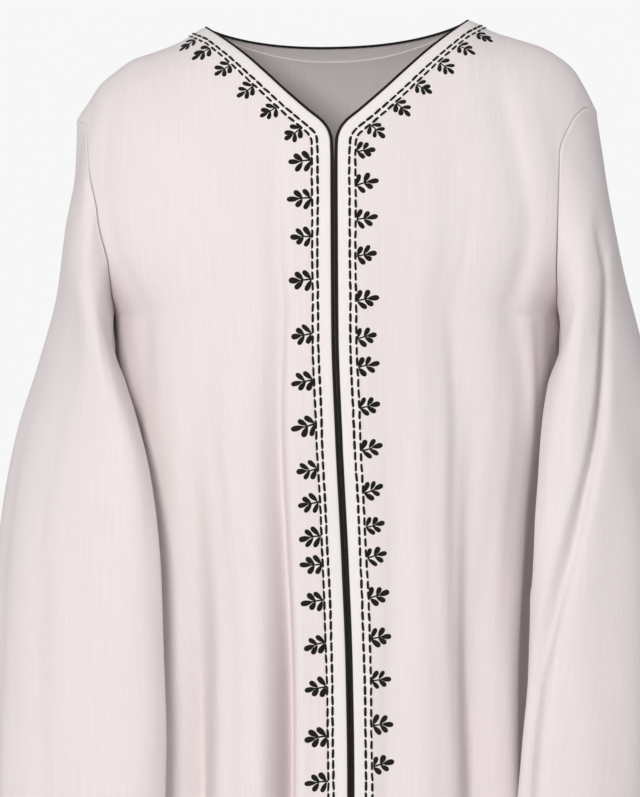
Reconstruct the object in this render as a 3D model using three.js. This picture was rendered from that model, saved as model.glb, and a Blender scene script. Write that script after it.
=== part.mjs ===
// A long open-front abaya, worn: two fronts, a back, two wide set-in sleeves, and a flat band with a
// black piped edge round the neck and down both front edges.
// Millimetres, +Z up, the front faces -Y. The origin is midway between the two shoulder-neck points,
// where the wearer's shoulders carry the cloth. Right and left are the wearer's: right is -X.
import * as THREE from "three";

// ---- driving sizes (mm) ----
const CLOTH = 1.4; // wall of the panels and sleeves
const BAND_WALL = 1.6; // wall of the neck and front band
const BAND_WIDTH = 17.5; // from the middle of the piping to the outer edge of the band
const PIPING = 2.7; // diameter of the piping
const SEAM = 0.2; // half of the gap at a seam between two panels
const JOIN = 0.45; // gap between the band and its panel, and between sleeve and armhole
const SLANT_END = 330; // below this drop a level line round the body is horizontal
const NECK_HALF = 112; // half width of the neck opening at the shoulder seams
const BACK_NECK_DROP = 20; // back neck edge below the shoulder-neck points
const BACK_BAND_DROP = 33; // outer edge of the back neck band below them
const UNDERARM = 250; // drop of the underarm
const ROUND = 2.3; // exponent of the body's sections, 2 would be an ellipse

// Body sections: drop below the shoulder-neck points, half width, depth in front and behind.
const BODY = [
  { drop: 0, half: 221, front: 0, back: 0 },
  { drop: 2, half: 222, front: 14, back: 13 },
  { drop: 7, half: 223, front: 26, back: 24 },
  { drop: 15, half: 224, front: 38, back: 35 },
  { drop: 27, half: 225, front: 51, back: 47 },
  { drop: 42, half: 227, front: 62, back: 58 },
  { drop: 60, half: 228, front: 72, back: 68 },
  { drop: 100, half: 230, front: 88, back: 84 },
  { drop: 150, half: 228, front: 102, back: 96 },
  { drop: 190, half: 218, front: 110, back: 102 },
  { drop: 225, half: 201, front: 114, back: 105 },
  { drop: 250, half: 190, front: 116, back: 106 },
  { drop: 275, half: 189.5, front: 117, back: 106 },
  { drop: 330, half: 187, front: 118, back: 105 },
  { drop: 430, half: 175, front: 117, back: 104 },
  { drop: 560, half: 167, front: 119, back: 108 },
  { drop: 680, half: 169, front: 124, back: 116 },
  { drop: 800, half: 186, front: 136, back: 128 },
  { drop: 1000, half: 221, front: 158, back: 150 },
  { drop: 1200, half: 259, front: 180, back: 170 },
  { drop: 1400, half: 292, front: 200, back: 190 },
];
// Shoulder line seen from the front: distance from the middle, height of the right and left shoulder.
const SHOULDER = [
  { out: 112, right: -3, left: 3 },
  { out: 124, right: -10, left: -2.5 },
  { out: 137, right: -17, left: -8 },
  { out: 155, right: -24, left: -13.5 },
  { out: 175, right: -31, left: -20 },
  { out: 189, right: -41, left: -28 },
  { out: 202, right: -52, left: -39 },
  { out: 212, right: -67, left: -55 },
  { out: 221, right: -80, left: -73 },
];
// Middle of the piping: drop, distance from the centre line.
const NECK_EDGE = [
  { drop: 0, gap: 112 },
  { drop: 11.5, gap: 95 },
  { drop: 24.5, gap: 78 },
  { drop: 40, gap: 60.5 },
  { drop: 58, gap: 41 },
  { drop: 75, gap: 21.5 },
  { drop: 85, gap: 9.5 },
  { drop: 92, gap: 4.6 },
  { drop: 101, gap: 2.1 },
  { drop: 120, gap: 1.65 },
  { drop: 1400, gap: 1.65 },
];
// Centre line: drop, how far it strays to the wearer's left as the cloth hangs.
const CENTRE = [
  { drop: 0, stray: 0 },
  { drop: 100, stray: -2.6 },
  { drop: 260, stray: -1.9 },
  { drop: 350, stray: 1.3 },
  { drop: 460, stray: 6.8 },
  { drop: 550, stray: 10.2 },
  { drop: 650, stray: 11.6 },
  { drop: 1000, stray: 9 },
  { drop: 1400, stray: 5 },
];
// Armhole: drop, angle round the body from the front or back middle, for the right and left fronts and the back.
const ARMHOLE = [
  { drop: 0, right: 90, left: 90, back: 90 },
  { drop: 7, right: 82, left: 80, back: 81 },
  { drop: 27, right: 72.5, left: 70, back: 72 },
  { drop: 60, right: 68.4, left: 61.5, back: 67 },
  { drop: 100, right: 65.3, left: 55.7, back: 63 },
  { drop: 150, right: 62.8, left: 55.5, back: 61 },
  { drop: 190, right: 63.6, left: 59, back: 62.5 },
  { drop: 225, right: 73, left: 69, back: 71 },
  { drop: 242, right: 81, left: 79, back: 80 },
  { drop: 250, right: 90, left: 90, back: 90 },
];
// Folds of the body: angle from the middle of the front (minus = wearer's right) at three drops, depth into
// the body at four drops (minus = a ridge), and width at the hip and the hem.
const FOLDS = [
  { name: "beside_front_edge_right", a200: -13.6, a425: -17.6, a650: -18.4, d200: 2, d425: 8, d650: 19, dhem: 26, w: 11, whem: 24 },
  { name: "mid_right", a200: -28.4, a425: -43.2, a650: -48, d200: 0, d425: 5, d650: 16, dhem: 24, w: 13, whem: 26 },
  { name: "side_right_front", a200: -58, a425: -74, a650: -82, d200: 0, d425: 7, d650: 9, dhem: 22, w: 16, whem: 30 },
  { name: "side_right_back", a200: -112, a425: -103, a650: -104, d200: 0, d425: 12, d650: 20, dhem: 26, w: 16, whem: 30 },
  { name: "back_right_outer", a200: -128, a425: -127, a650: -126, d200: 1, d425: 8, d650: 17, dhem: 27, w: 15, whem: 29 },
  { name: "back_right_inner", a200: -151, a425: -150, a650: -148, d200: 2, d425: 9, d650: 14, dhem: 22, w: 14, whem: 26 },
  { name: "back_middle", a200: 176, a425: 175, a650: 173, d200: 1, d425: 6, d650: 15, dhem: 26, w: 15, whem: 30 },
  { name: "back_left_inner", a200: 154, a425: 150, a650: 147, d200: 1, d425: 7, d650: 17, dhem: 24, w: 13, whem: 26 },
  { name: "back_left_outer", a200: 131, a425: 127, a650: 124, d200: 3, d425: 10, d650: 13, dhem: 22, w: 15, whem: 28 },
  { name: "side_left_back", a200: 110, a425: 104, a650: 101, d200: 0, d425: 10, d650: 19, dhem: 27, w: 16, whem: 30 },
  { name: "side_left_front", a200: 69, a425: 76, a650: 75, d200: 0, d425: 11, d650: 24, dhem: 24, w: 14, whem: 30 },
  { name: "mid_left", a200: 28, a425: 38.2, a650: 42, d200: 3, d425: 6.5, d650: 15, dhem: 24, w: 16, whem: 32 },
  { name: "beside_front_edge_left", a200: 13.2, a425: 14.1, a650: 10.9, d200: 0, d425: 2, d650: 4, dhem: 6, w: 12, whem: 22 },
  { name: "from_left_shoulder", a200: 48, a425: 61, a650: 61, d200: 3.4, d425: 1.8, d650: 0, dhem: 0, w: 13, whem: 20 },
];
// Sleeves: outermost and innermost point of each ring (out = distance from the middle plane), and half its thickness.
const SLEEVES = {
  right: [
    { outX: 221, outY: 0, outZ: -80, inX: 188.8, inY: 0, inZ: -253, thick: 60 },
    { outX: 223, outY: 2, outZ: -125, inX: 188.6, inY: -38, inZ: -277, thick: 56 },
    { outX: 230, outY: 4, outZ: -170, inX: 179, inY: -62, inZ: -307, thick: 56 },
    { outX: 236, outY: 6, outZ: -225, inX: 170, inY: -82, inZ: -346, thick: 52 },
    { outX: 252, outY: 6, outZ: -285, inX: 162, inY: -93, inZ: -386, thick: 48 },
    { outX: 271, outY: 2, outZ: -350, inX: 155, inY: -101, inZ: -430, thick: 46 },
    { outX: 285, outY: -6, outZ: -430, inX: 149.5, inY: -103, inZ: -486, thick: 44 },
    { outX: 293, outY: -14, outZ: -520, inX: 145.5, inY: -102, inZ: -551, thick: 44 },
    { outX: 297, outY: -20, outZ: -600, inX: 144, inY: -101, inZ: -615, thick: 45 },
    { outX: 299, outY: -24, outZ: -680, inX: 145, inY: -102, inZ: -680, thick: 46 },
  ],
  left: [
    { outX: 221, outY: 0, outZ: -73, inX: 188.8, inY: 0, inZ: -252, thick: 60 },
    { outX: 227, outY: 2, outZ: -112, inX: 188.6, inY: -38, inZ: -277, thick: 56 },
    { outX: 233, outY: 4, outZ: -155, inX: 179, inY: -62, inZ: -307, thick: 56 },
    { outX: 242, outY: 6, outZ: -205, inX: 173, inY: -79, inZ: -346, thick: 52 },
    { outX: 258, outY: 6, outZ: -268, inX: 170, inY: -92, inZ: -386, thick: 48 },
    { outX: 274, outY: 2, outZ: -338, inX: 167, inY: -101, inZ: -430, thick: 46 },
    { outX: 286, outY: -6, outZ: -422, inX: 170.5, inY: -107, inZ: -486, thick: 44 },
    { outX: 294, outY: -14, outZ: -512, inX: 171.5, inY: -110, inZ: -551, thick: 44 },
    { outX: 298, outY: -20, outZ: -600, inX: 161, inY: -112, inZ: -615, thick: 45 },
    { outX: 300, outY: -24, outZ: -680, inX: 153, inY: -112, inZ: -680, thick: 46 },
  ],
};
const TWIST = 27; // degrees that a sleeve's lower rings turn their inner edge to the front
const TUCK = 18; // how far a sleeve's inner back half keeps out from the side of the body
// Folds of the sleeves: ring number and angle round the sleeve (0 outside, 90 front, 180 inside, 270 back)
// at the top, middle and end, depth there, and width.
const SLEEVE_FOLDS = {
  right: [
    { name: "back_long", r0: 1, r1: 5, r2: 9, a0: 250, a1: 262, a2: 268, d0: 1, d1: 8, d2: 12, w: 13 },
    { name: "back_outer", r0: 2, r1: 6, r2: 9, a0: 315, a1: 318, a2: 322, d0: 0, d1: 5, d2: 9, w: 13 },
    { name: "outer_front", r0: 3, r1: 6, r2: 9, a0: 30, a1: 35, a2: 38, d0: 0, d1: 2.5, d2: 6, w: 14 },
  ],
  left: [
    { name: "front_diagonal", r0: 2.4, r1: 4.5, r2: 7.2, a0: 70, a1: 120, a2: 185, d0: 3, d1: 8, d2: 6, w: 12 },
    { name: "outer_front", r0: 4, r1: 7, r2: 9, a0: 62, a1: 70, a2: 78, d0: 0, d1: 2, d2: 4, w: 14 },
    { name: "back_long", r0: 1, r1: 5, r2: 9, a0: 245, a1: 255, a2: 262, d0: 1, d1: 7, d2: 12, w: 13 },
    { name: "back_outer", r0: 2, r1: 6, r2: 9, a0: 308, a1: 315, a2: 318, d0: 1, d1: 6, d2: 9, w: 12 },
  ],
};
// Rows of the panels, as drops; the armhole takes those down to the underarm.
const ROWS = [0, 2, 7, 15, 27, 42, 60, 79, 92, 101, 125, 155, 190, 225, 250, 290, 340, 400, 480, 570, 660, 780, 920, 1080, 1240, 1400];
// Columns of a front, from the band to the armhole or side seam, and of half the back from its middle.
const FRONT_COLUMNS = [0, 0.08, 0.165, 0.25, 0.345, 0.44, 0.52, 0.61, 0.71, 0.81, 0.91, 1];
const BACK_COLUMNS = [0, 0.08, 0.17, 0.26, 0.33, 0.3933, 0.48, 0.57, 0.66, 0.75, 0.84, 0.92, 1];
const SLEEVE_STEPS = [0, 0.4, 1, 2, 3, 4, 5, 6, 7, 8, 9]; // rings built on each sleeve

const rad = Math.PI / 180;

// ---- a smooth curve through a column of a table, with no overshoot ----
function column(table, key, name, warp = (v) => v) {
  const x = table.map((r) => warp(r[key]));
  const y = table.map((r) => r[name]);
  const n = x.length;
  const slope = [];
  for (let i = 0; i < n - 1; i++) slope.push((y[i + 1] - y[i]) / (x[i + 1] - x[i]));
  const m = y.map((_, i) => {
    if (i === 0) return slope[0];
    if (i === n - 1) return slope[n - 2];
    if (slope[i - 1] * slope[i] <= 0) return 0;
    const h0 = x[i] - x[i - 1];
    const h1 = x[i + 1] - x[i];
    return (3 * (h0 + h1)) / ((2 * h1 + h0) / slope[i - 1] + (h1 + 2 * h0) / slope[i]);
  });
  return (at) => {
    const v = warp(at);
    if (v <= x[0]) return y[0];
    if (v >= x[n - 1]) return y[n - 1];
    let i = 0;
    while (v > x[i + 1]) i++;
    const h = x[i + 1] - x[i];
    const t = (v - x[i]) / h;
    return (
      y[i] * (1 + 2 * t) * (1 - t) ** 2 + m[i] * h * t * (1 - t) ** 2 + y[i + 1] * t * t * (3 - 2 * t) + m[i + 1] * h * t * t * (t - 1)
    );
  };
}
const half = column(BODY, "drop", "half", Math.sqrt);
const front = column(BODY, "drop", "front", Math.sqrt);
const back = column(BODY, "drop", "back", Math.sqrt);
const shoulder = { right: column(SHOULDER, "out", "right"), left: column(SHOULDER, "out", "left") };
const neckGap = column(NECK_EDGE, "drop", "gap");
const stray = column(CENTRE, "drop", "stray");
const armhole = {
  right: column(ARMHOLE, "drop", "right"),
  left: column(ARMHOLE, "drop", "left"),
  back: column(ARMHOLE, "drop", "back"),
};

// Depth of all folds at an angle round the body and a drop.
const levels = (f, p) => column(
  [200, 425, 650, 1400].map((drop) => ({ drop, v: drop === 1400 ? (p === "a" ? f.a650 : f.dhem) : f[p + drop] })),
  "drop",
  "v",
);
const FOLD_LINES = FOLDS.map((f) => ({ ...f, angle: levels(f, "a"), depth: levels(f, "d") }));
function foldDepth(angle, drop) {
  const w = half(drop);
  const f = front(drop);
  let sum = 0;
  for (const fold of FOLD_LINES) {
    const a = fold.angle(drop);
    const depth = fold.depth(drop) * (drop < 200 ? Math.max(0, (drop - 60) / 140) ** 2 : 1);
    if (depth === 0) continue;
    const reach = Math.hypot(w * Math.cos(a * rad), f * Math.sin(a * rad)) * rad; // mm for a degree
    let d = angle - a;
    if (d > 180) d -= 360;
    if (d < -180) d += 360;
    const wide = fold.w + ((fold.whem - fold.w) * Math.max(0, drop - 650)) / 750;
    sum += depth * Math.exp(-(((d * reach) / wide) ** 2));
  }
  return sum;
}

// A point of the body: signed angle from the front middle, drop. Angles past +-90 are on the back.
function body(angle, drop) {
  const behind = Math.abs(angle) > 90;
  const a = behind ? Math.sign(angle) * (180 - Math.abs(angle)) : angle;
  const q = Math.sin(a * rad);
  const w = half(drop);
  const depth = behind ? back(drop) : front(drop);
  const p = Math.abs(q);
  const c = Math.max(0, 1 - p ** ROUND);
  let x = w * q;
  let y = (behind ? 1 : -1) * depth * c ** (1 / ROUND);
  // plan normal of the section
  const nx = (Math.sign(q) * p ** (ROUND - 1)) / w;
  const ny = ((behind ? 1 : -1) * c ** ((ROUND - 1) / ROUND)) / Math.max(depth, 1);
  const n = Math.hypot(nx, ny);
  const fold = foldDepth(angle, drop);
  x -= (fold * nx) / n;
  y -= (fold * ny) / n;
  if (!behind) x += stray(drop) * (1 - q * q);
  const side = x < 0 ? "right" : "left";
  const out = Math.abs(x);
  const rise = out < NECK_HALF ? (3 * x) / NECK_HALF : shoulder[side](out);
  const fade = Math.max(0, 1 - drop / SLANT_END) ** 2;
  return new THREE.Vector3(x, y + (behind ? SEAM : -SEAM), -drop + rise * fade);
}
// Outward normal; on a seam it stays in the seam's plane.
function bodyNormal(angle, drop, inSeam) {
  const behind = Math.abs(angle) > 90;
  const lo = behind ? 90.001 * Math.sign(angle) : -90;
  const step = 0.6;
  const a0 = behind ? (Math.abs(angle) - step < 90.001 ? lo : angle - step * Math.sign(angle)) : Math.max(-90, angle - step);
  const a1 = behind ? angle + step * Math.sign(angle) : Math.min(90, angle + step);
  const r = Math.sqrt(drop);
  const r0 = Math.max(0, r - 0.08);
  const r1 = r + 0.08;
  const along = body(a1, drop).sub(body(a0, drop));
  const down = body(angle, r1 * r1).sub(body(angle, r0 * r0));
  const n = along.cross(down);
  if (inSeam) n.y = 0;
  n.normalize();
  const p = body(angle, drop);
  const flat = new THREE.Vector3(p.x, behind ? Math.abs(p.y) : -Math.abs(p.y), drop < 60 ? 60 : 0);
  return n.dot(flat) < 0 ? n.negate() : n;
}

// ---- closed walls ----
// outer and inner are rows of points; closed = the rows join end to end.
function wall(outer, inner, closed) {
  const rows = outer.length;
  const cols = outer[0].length;
  const pos = [];
  for (const set of [outer, inner]) for (const row of set) for (const p of row) pos.push(p.x, p.y, p.z);
  const id = (s, i, j) => s * rows * cols + i * cols + (j % cols);
  const tri = [];
  const quad = (a, b, c, d) => tri.push(a, b, c, a, c, d);
  const last = closed ? cols : cols - 1;
  for (let i = 0; i < rows - 1; i++)
    for (let j = 0; j < last; j++) {
      quad(id(0, i, j), id(0, i, j + 1), id(0, i + 1, j + 1), id(0, i + 1, j));
      quad(id(1, i, j), id(1, i + 1, j), id(1, i + 1, j + 1), id(1, i, j + 1));
    }
  for (let j = 0; j < last; j++) {
    quad(id(0, 0, j), id(1, 0, j), id(1, 0, j + 1), id(0, 0, j + 1));
    quad(id(0, rows - 1, j), id(0, rows - 1, j + 1), id(1, rows - 1, j + 1), id(1, rows - 1, j));
  }
  if (!closed)
    for (let i = 0; i < rows - 1; i++) {
      quad(id(0, i, 0), id(0, i + 1, 0), id(1, i + 1, 0), id(1, i, 0));
      quad(id(0, i, cols - 1), id(1, i, cols - 1), id(1, i + 1, cols - 1), id(0, i + 1, cols - 1));
    }
  return solid(pos, tri);
}
function solid(pos, tri) {
  const p = (i) => new THREE.Vector3(pos[3 * i], pos[3 * i + 1], pos[3 * i + 2]);
  let volume = 0;
  for (let k = 0; k < tri.length; k += 3) volume += p(tri[k]).dot(p(tri[k + 1]).cross(p(tri[k + 2])));
  if (volume < 0) for (let k = 0; k < tri.length; k += 3) [tri[k + 1], tri[k + 2]] = [tri[k + 2], tri[k + 1]];
  const g = new THREE.BufferGeometry();
  g.setAttribute("position", new THREE.Float32BufferAttribute(pos, 3));
  g.setIndex(tri);
  g.computeVertexNormals();
  return g;
}

// ---- the neck and front edge ----
const edgeAngle = (sign, drop) => (Math.asin((sign * neckGap(drop)) / half(drop)) / rad);
const EDGE_DROPS = [];
for (let r = 0; r <= Math.sqrt(1400); r += 0.12) EDGE_DROPS.push(r * r);
EDGE_DROPS.push(1400);
const edgeLine = { right: EDGE_DROPS.map((d) => body(edgeAngle(-1, d), d)), left: EDGE_DROPS.map((d) => body(edgeAngle(1, d), d)) };
// Angle on a row at which the surface is a given distance from the edge line.
function angleOut(side, drop, distance) {
  const sign = side === "right" ? -1 : 1;
  const line = edgeLine[side].filter((_, i) => Math.abs(EDGE_DROPS[i] - drop) < 60);
  let lo = Math.abs(edgeAngle(sign, drop));
  let hi = lo + 25;
  const ray = new THREE.Line3();
  const near = new THREE.Vector3();
  for (let k = 0; k < 30; k++) {
    const mid = (lo + hi) / 2;
    const p = body(sign * mid, drop);
    let best = Infinity;
    for (let i = 0; i < line.length - 1; i++) {
      ray.set(line[i], line[i + 1]);
      ray.closestPointToPoint(p, true, near);
      best = Math.min(best, near.distanceTo(p));
    }
    if (best < distance) lo = mid;
    else hi = mid;
  }
  return (sign * (lo + hi)) / 2;
}

const group = new THREE.Group();
const CLOTH_COLOUR = 0xe9dfdb;
const BAND_COLOUR = 0xece8e3;
const BLACK = 0x1a1715;
function add(name, geometry, color, roughness) {
  const mesh = new THREE.Mesh(geometry, new THREE.MeshStandardMaterial({ color, roughness, metalness: 0 }));
  mesh.name = name;
  group.add(mesh);
}
const inward = (p, n, t) => p.clone().addScaledVector(n, -t);

// ---- fronts, bands and pipings ----
const armLoop = { right: { front: [], back: [] }, left: { front: [], back: [] } };
const bandSeam = {};
for (const side of ["right", "left"]) {
  const sign = side === "right" ? -1 : 1;
  const outer = [];
  const inner = [];
  const bandOuter = [];
  const bandInner = [];
  const pipe = [];
  for (const drop of ROWS) {
    const top = drop === 0;
    const end = drop < UNDERARM ? armhole[side](drop) : 90;
    const border = angleOut(side, drop, BAND_WIDTH + JOIN / 2);
    const rowOut = [];
    const rowIn = [];
    for (const k of FRONT_COLUMNS) {
      const angle = sign * (Math.abs(border) + (end - Math.abs(border)) * k);
      const p = body(angle, drop);
      const n = bodyNormal(angle, drop, top || (k === 1 && drop >= UNDERARM));
      rowOut.push(p);
      rowIn.push(inward(p, n, CLOTH));
    }
    outer.push(rowOut);
    inner.push(rowIn);
    if (drop <= UNDERARM) armLoop[side].front.push([rowOut.at(-1), rowIn.at(-1)]);
    // band between the piping and the border
    const a = angleOut(side, drop, PIPING / 2 + 0.3);
    const b = angleOut(side, drop, BAND_WIDTH - JOIN / 2);
    const na = bodyNormal(a, drop, top);
    const nb = bodyNormal(b, drop, top);
    bandOuter.push([body(a, drop), body(b, drop)]);
    bandInner.push([inward(body(a, drop), na, BAND_WALL), inward(body(b, drop), nb, BAND_WALL)]);
    // piping: a round cord in line with the band's wall
    const e = edgeAngle(sign, drop);
    const ne = bodyNormal(e, drop, top);
    const mid = inward(body(e, drop), ne, BAND_WALL / 2);
    pipe.push({ mid, n: ne, out: body(a, drop).sub(body(e, drop)) });
  }
  add(`front_${side}`, wall(outer, inner, false), CLOTH_COLOUR, 0.85);
  add(`band_${side}`, wall(bandOuter, bandInner, false), BAND_COLOUR, 0.75);
  add(`piping_${side}`, cord(pipe), BLACK, 0.6);
  bandSeam[side] = { a: angleOut(side, 0, PIPING / 2 + 0.3), border: angleOut(side, 0, BAND_WIDTH + JOIN / 2) };
}
// A six-sided cord through stations with a normal and a sideways direction.
function cord(stations) {
  const pos = [];
  const tri = [];
  const sides = 6;
  for (const s of stations) {
    const n = s.n.clone();
    const o = s.out.clone().addScaledVector(n, -s.out.dot(n)).normalize();
    for (let k = 0; k < sides; k++) {
      const t = ((k + 0.5) / sides) * 2 * Math.PI;
      const v = s.mid
        .clone()
        .addScaledVector(n, (Math.sin(t) * PIPING) / 2)
        .addScaledVector(o, (Math.cos(t) * PIPING) / 2);
      pos.push(v.x, v.y, v.z);
    }
  }
  const m = stations.length;
  for (let i = 0; i < m - 1; i++)
    for (let k = 0; k < sides; k++) {
      const a = i * sides + k;
      const b = i * sides + ((k + 1) % sides);
      tri.push(a, b, b + sides, a, b + sides, a + sides);
    }
  for (let k = 1; k < sides - 1; k++) {
    tri.push(0, k + 1, k);
    const e = (m - 1) * sides;
    tri.push(e, e + k, e + k + 1);
  }
  return solid(pos, tri);
}

// ---- back ----
// Drop along the neck at a fraction of the way from the middle of the back to the shoulder seam.
const dip = (f, drop) => drop * Math.max(0, 1 - Math.abs(f) ** 2.2) ** 0.9;
const BORDER_FRACTION = BACK_COLUMNS[5];
const behind = (a) => (a < 0 ? -180 - a : 180 - a); // angle from the back middle to angle round the body
{
  const fractions = [...BACK_COLUMNS.slice(1).map((k) => -k).reverse(), ...BACK_COLUMNS];
  const outer = [];
  const inner = [];
  for (const row of ROWS) {
    const rowOut = [];
    const rowIn = [];
    for (const k of fractions) {
      // the top rows follow the neck and level out by a drop of 101
      const level = Math.max(0, 1 - row / 101);
      const drop = row + dip(Math.min(1, Math.abs(k) / BORDER_FRACTION), BACK_BAND_DROP) * level;
      const end = drop < UNDERARM ? armhole.back(drop) : 90;
      const border = Math.abs(bandSeam[k < 0 ? "right" : "left"].border);
      const f = Math.abs(k);
      const shift = (border - BORDER_FRACTION * 90) * level * (f < BORDER_FRACTION ? f / BORDER_FRACTION : (1 - f) / (1 - BORDER_FRACTION));
      const a = behind(k * end + Math.sign(k) * shift);
      const at = Math.abs(a) <= 90.0001 ? Math.sign(a) * 90.0001 : a;
      const p = body(at, drop);
      const seam = drop < 0.01 || (f === 1 && row >= UNDERARM);
      rowOut.push(p);
      rowIn.push(inward(p, bodyNormal(at, drop, seam), CLOTH));
    }
    outer.push(rowOut);
    inner.push(rowIn);
    if (row <= UNDERARM) {
      armLoop.right.back.push([rowOut[0], rowIn[0]]);
      armLoop.left.back.push([rowOut.at(-1), rowIn.at(-1)]);
    }
  }
  add("back", wall(outer, inner, false), CLOTH_COLOUR, 0.85);

  // back neck band and piping, from seam to seam, on the columns of the back
  const bandOut = [];
  const bandIn = [];
  const pipe = [];
  fractions.forEach((k, i) => {
    const f = k / BORDER_FRACTION;
    if (Math.abs(f) > 1.0001) return;
    const atSeam = Math.abs(f) > 0.999;
    const near = bandSeam[k < 0 ? "right" : "left"];
    const neckDrop = dip(f, BACK_NECK_DROP);
    const a = behind(f * Math.abs(near.a));
    const neck = body(a, neckDrop);
    const neckNormal = bodyNormal(a, neckDrop, atSeam);
    const border = outer[0][i].clone();
    const borderIn = inner[0][i].clone();
    const inwards = neck.clone().sub(border).normalize();
    if (atSeam) inwards.setY(0).normalize();
    border.addScaledVector(inwards, JOIN);
    const m = behind((f * (Math.abs(near.a) + Math.abs(near.border))) / 2);
    const midDrop = (neckDrop + dip(f, BACK_BAND_DROP)) / 2;
    const mid = body(m, midDrop);
    const outward = outer[0][i].clone().sub(borderIn).normalize();
    bandOut.push([neck, mid, border]);
    bandIn.push([inward(neck, neckNormal, BAND_WALL), inward(mid, bodyNormal(m, midDrop, atSeam), BAND_WALL), inward(border, outward, BAND_WALL)]);
    const core = neck.clone().addScaledVector(inwards, PIPING / 2 + 0.3).addScaledVector(neckNormal, -BAND_WALL / 2);
    pipe.push({ mid: core, n: neckNormal, out: inwards });
  });
  add("band_back_neck", wall(bandOut, bandIn, false), BAND_COLOUR, 0.75);
  add("piping_back_neck", cord(pipe), BLACK, 0.6);
}

// ---- sleeves ----
for (const side of ["right", "left"]) {
  const sign = side === "right" ? -1 : 1;
  const table = SLEEVES[side].map((r, i) => ({ ring: i, ...r }));
  const get = Object.fromEntries(["outX", "outY", "outZ", "inX", "inY", "inZ", "thick"].map((k) => [k, column(table, "ring", k)]));
  const folds = SLEEVE_FOLDS[side].map((f) => {
    const t = [0, 1, 2].map((i) => ({ r: f["r" + i], a: f["a" + i], d: f["d" + i] }));
    return { ...f, angle: column(t, "r", "a"), depth: column(t, "r", "d") };
  });
  const ring = (t, phi) => {
    const O = new THREE.Vector3(sign * get.outX(t), get.outY(t), get.outZ(t));
    const I = new THREE.Vector3(sign * get.inX(t), get.inY(t), get.inZ(t));
    const C = O.clone().add(I).multiplyScalar(0.5);
    const A = O.clone().sub(I).multiplyScalar(0.5);
    const twist = TWIST * rad * Math.min(1, t / 6);
    const D = new THREE.Vector3(sign * Math.sin(twist), -Math.cos(twist), 0).multiplyScalar(get.thick(t));
    const p = C.clone().addScaledVector(A, Math.cos(phi * rad)).addScaledVector(D, Math.sin(phi * rad));
    if (phi > 180) p.x += sign * TUCK * Math.sin(Math.PI * Math.min(1, (phi - 180) / 150)) * Math.max(0, Math.sin((Math.PI * Math.min(t, side === "right" ? 3 : 6)) / 6)) ** 0.6;
    let depth = 0;
    for (const f of folds) {
      if (t < f.r0 - 1) continue;
      const ease = Math.min(1, t - f.r0 + 1);
      let d = phi - f.angle(t);
      if (d > 180) d -= 360;
      if (d < -180) d += 360;
      const reach = Math.hypot(A.length() * Math.sin(phi * rad), D.length() * Math.cos(phi * rad)) * rad;
      depth += f.depth(t) * ease * Math.exp(-(((d * reach) / f.w) ** 2));
    }
    return p.addScaledVector(C.clone().sub(p).normalize(), depth);
  };
  // the armhole loop, tip - front - underarm - back
  const loop = [...armLoop[side].front, ...armLoop[side].back.slice(1, -1).reverse()];
  const frontCount = armLoop[side].front.length;
  // angle round the sleeve of each loop point, by its length along the front or back of the armhole
  const length = loop.map(([p], i) => p.distanceTo(loop[(i + 1) % loop.length][0]));
  const run = (from, to) => length.slice(from, to).reduce((sum, v) => sum + v, 0);
  const phis = loop.map((_, i) =>
    i < frontCount - 1 ? (180 * run(0, i)) / run(0, frontCount - 1) : 180 + (180 * run(frontCount - 1, i)) / run(frontCount - 1, loop.length),
  );
  const shift = new THREE.Vector3(sign * 0.8, 0, -0.6).multiplyScalar(0.5);
  // the seam points at the tip and the underarm lie between front and back
  const tip = loop[0].map((p) => p.clone().setY(0));
  const pit = loop[frontCount - 1].map((p) => p.clone().setY(0));
  const start = loop.map((pair, i) => (i === 0 ? tip : i === frontCount - 1 ? pit : pair).map((p) => p.clone().add(shift)));
  const point = (t, i) => {
    const p = ring(t, phis[i]);
    const w = Math.max(0, 1 - t / 2.6) ** 2;
    return p.add(start[i][0].clone().sub(ring(0, phis[i])).multiplyScalar(w));
  };
  const outer = SLEEVE_STEPS.map((t) => loop.map((_, i) => point(t, i)));
  const count = loop.length;
  const inner = outer.map((row, k) =>
    row.map((p, i) => {
      if (k === 0) return start[i][1];
      const up = outer[k - 1][i];
      const down = outer[Math.min(k + 1, outer.length - 1)][i];
      const n = new THREE.Vector3()
        .subVectors(row[(i + 1) % count], row[(i + count - 1) % count])
        .cross(new THREE.Vector3().subVectors(down, up))
        .normalize();
      const c = row.reduce((s, q) => s.add(q), new THREE.Vector3()).multiplyScalar(1 / count);
      if (n.dot(new THREE.Vector3().subVectors(p, c)) < 0) n.negate();
      return inward(p, n, CLOTH);
    }),
  );
  add(`sleeve_${side}`, wall(outer, inner, true), CLOTH_COLOUR, 0.85);
}

export default group;
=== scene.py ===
# A worn, open-front crepe abaya: panels, sleeves, band, piping and hand embroidery, made on the sizes of
# its construction. Lengths are millimetres until they are written to a mesh. -Y is the front, +Z up.
import math
import bpy
import numpy as np
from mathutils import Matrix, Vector
from mathutils.bvhtree import BVHTree


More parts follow.
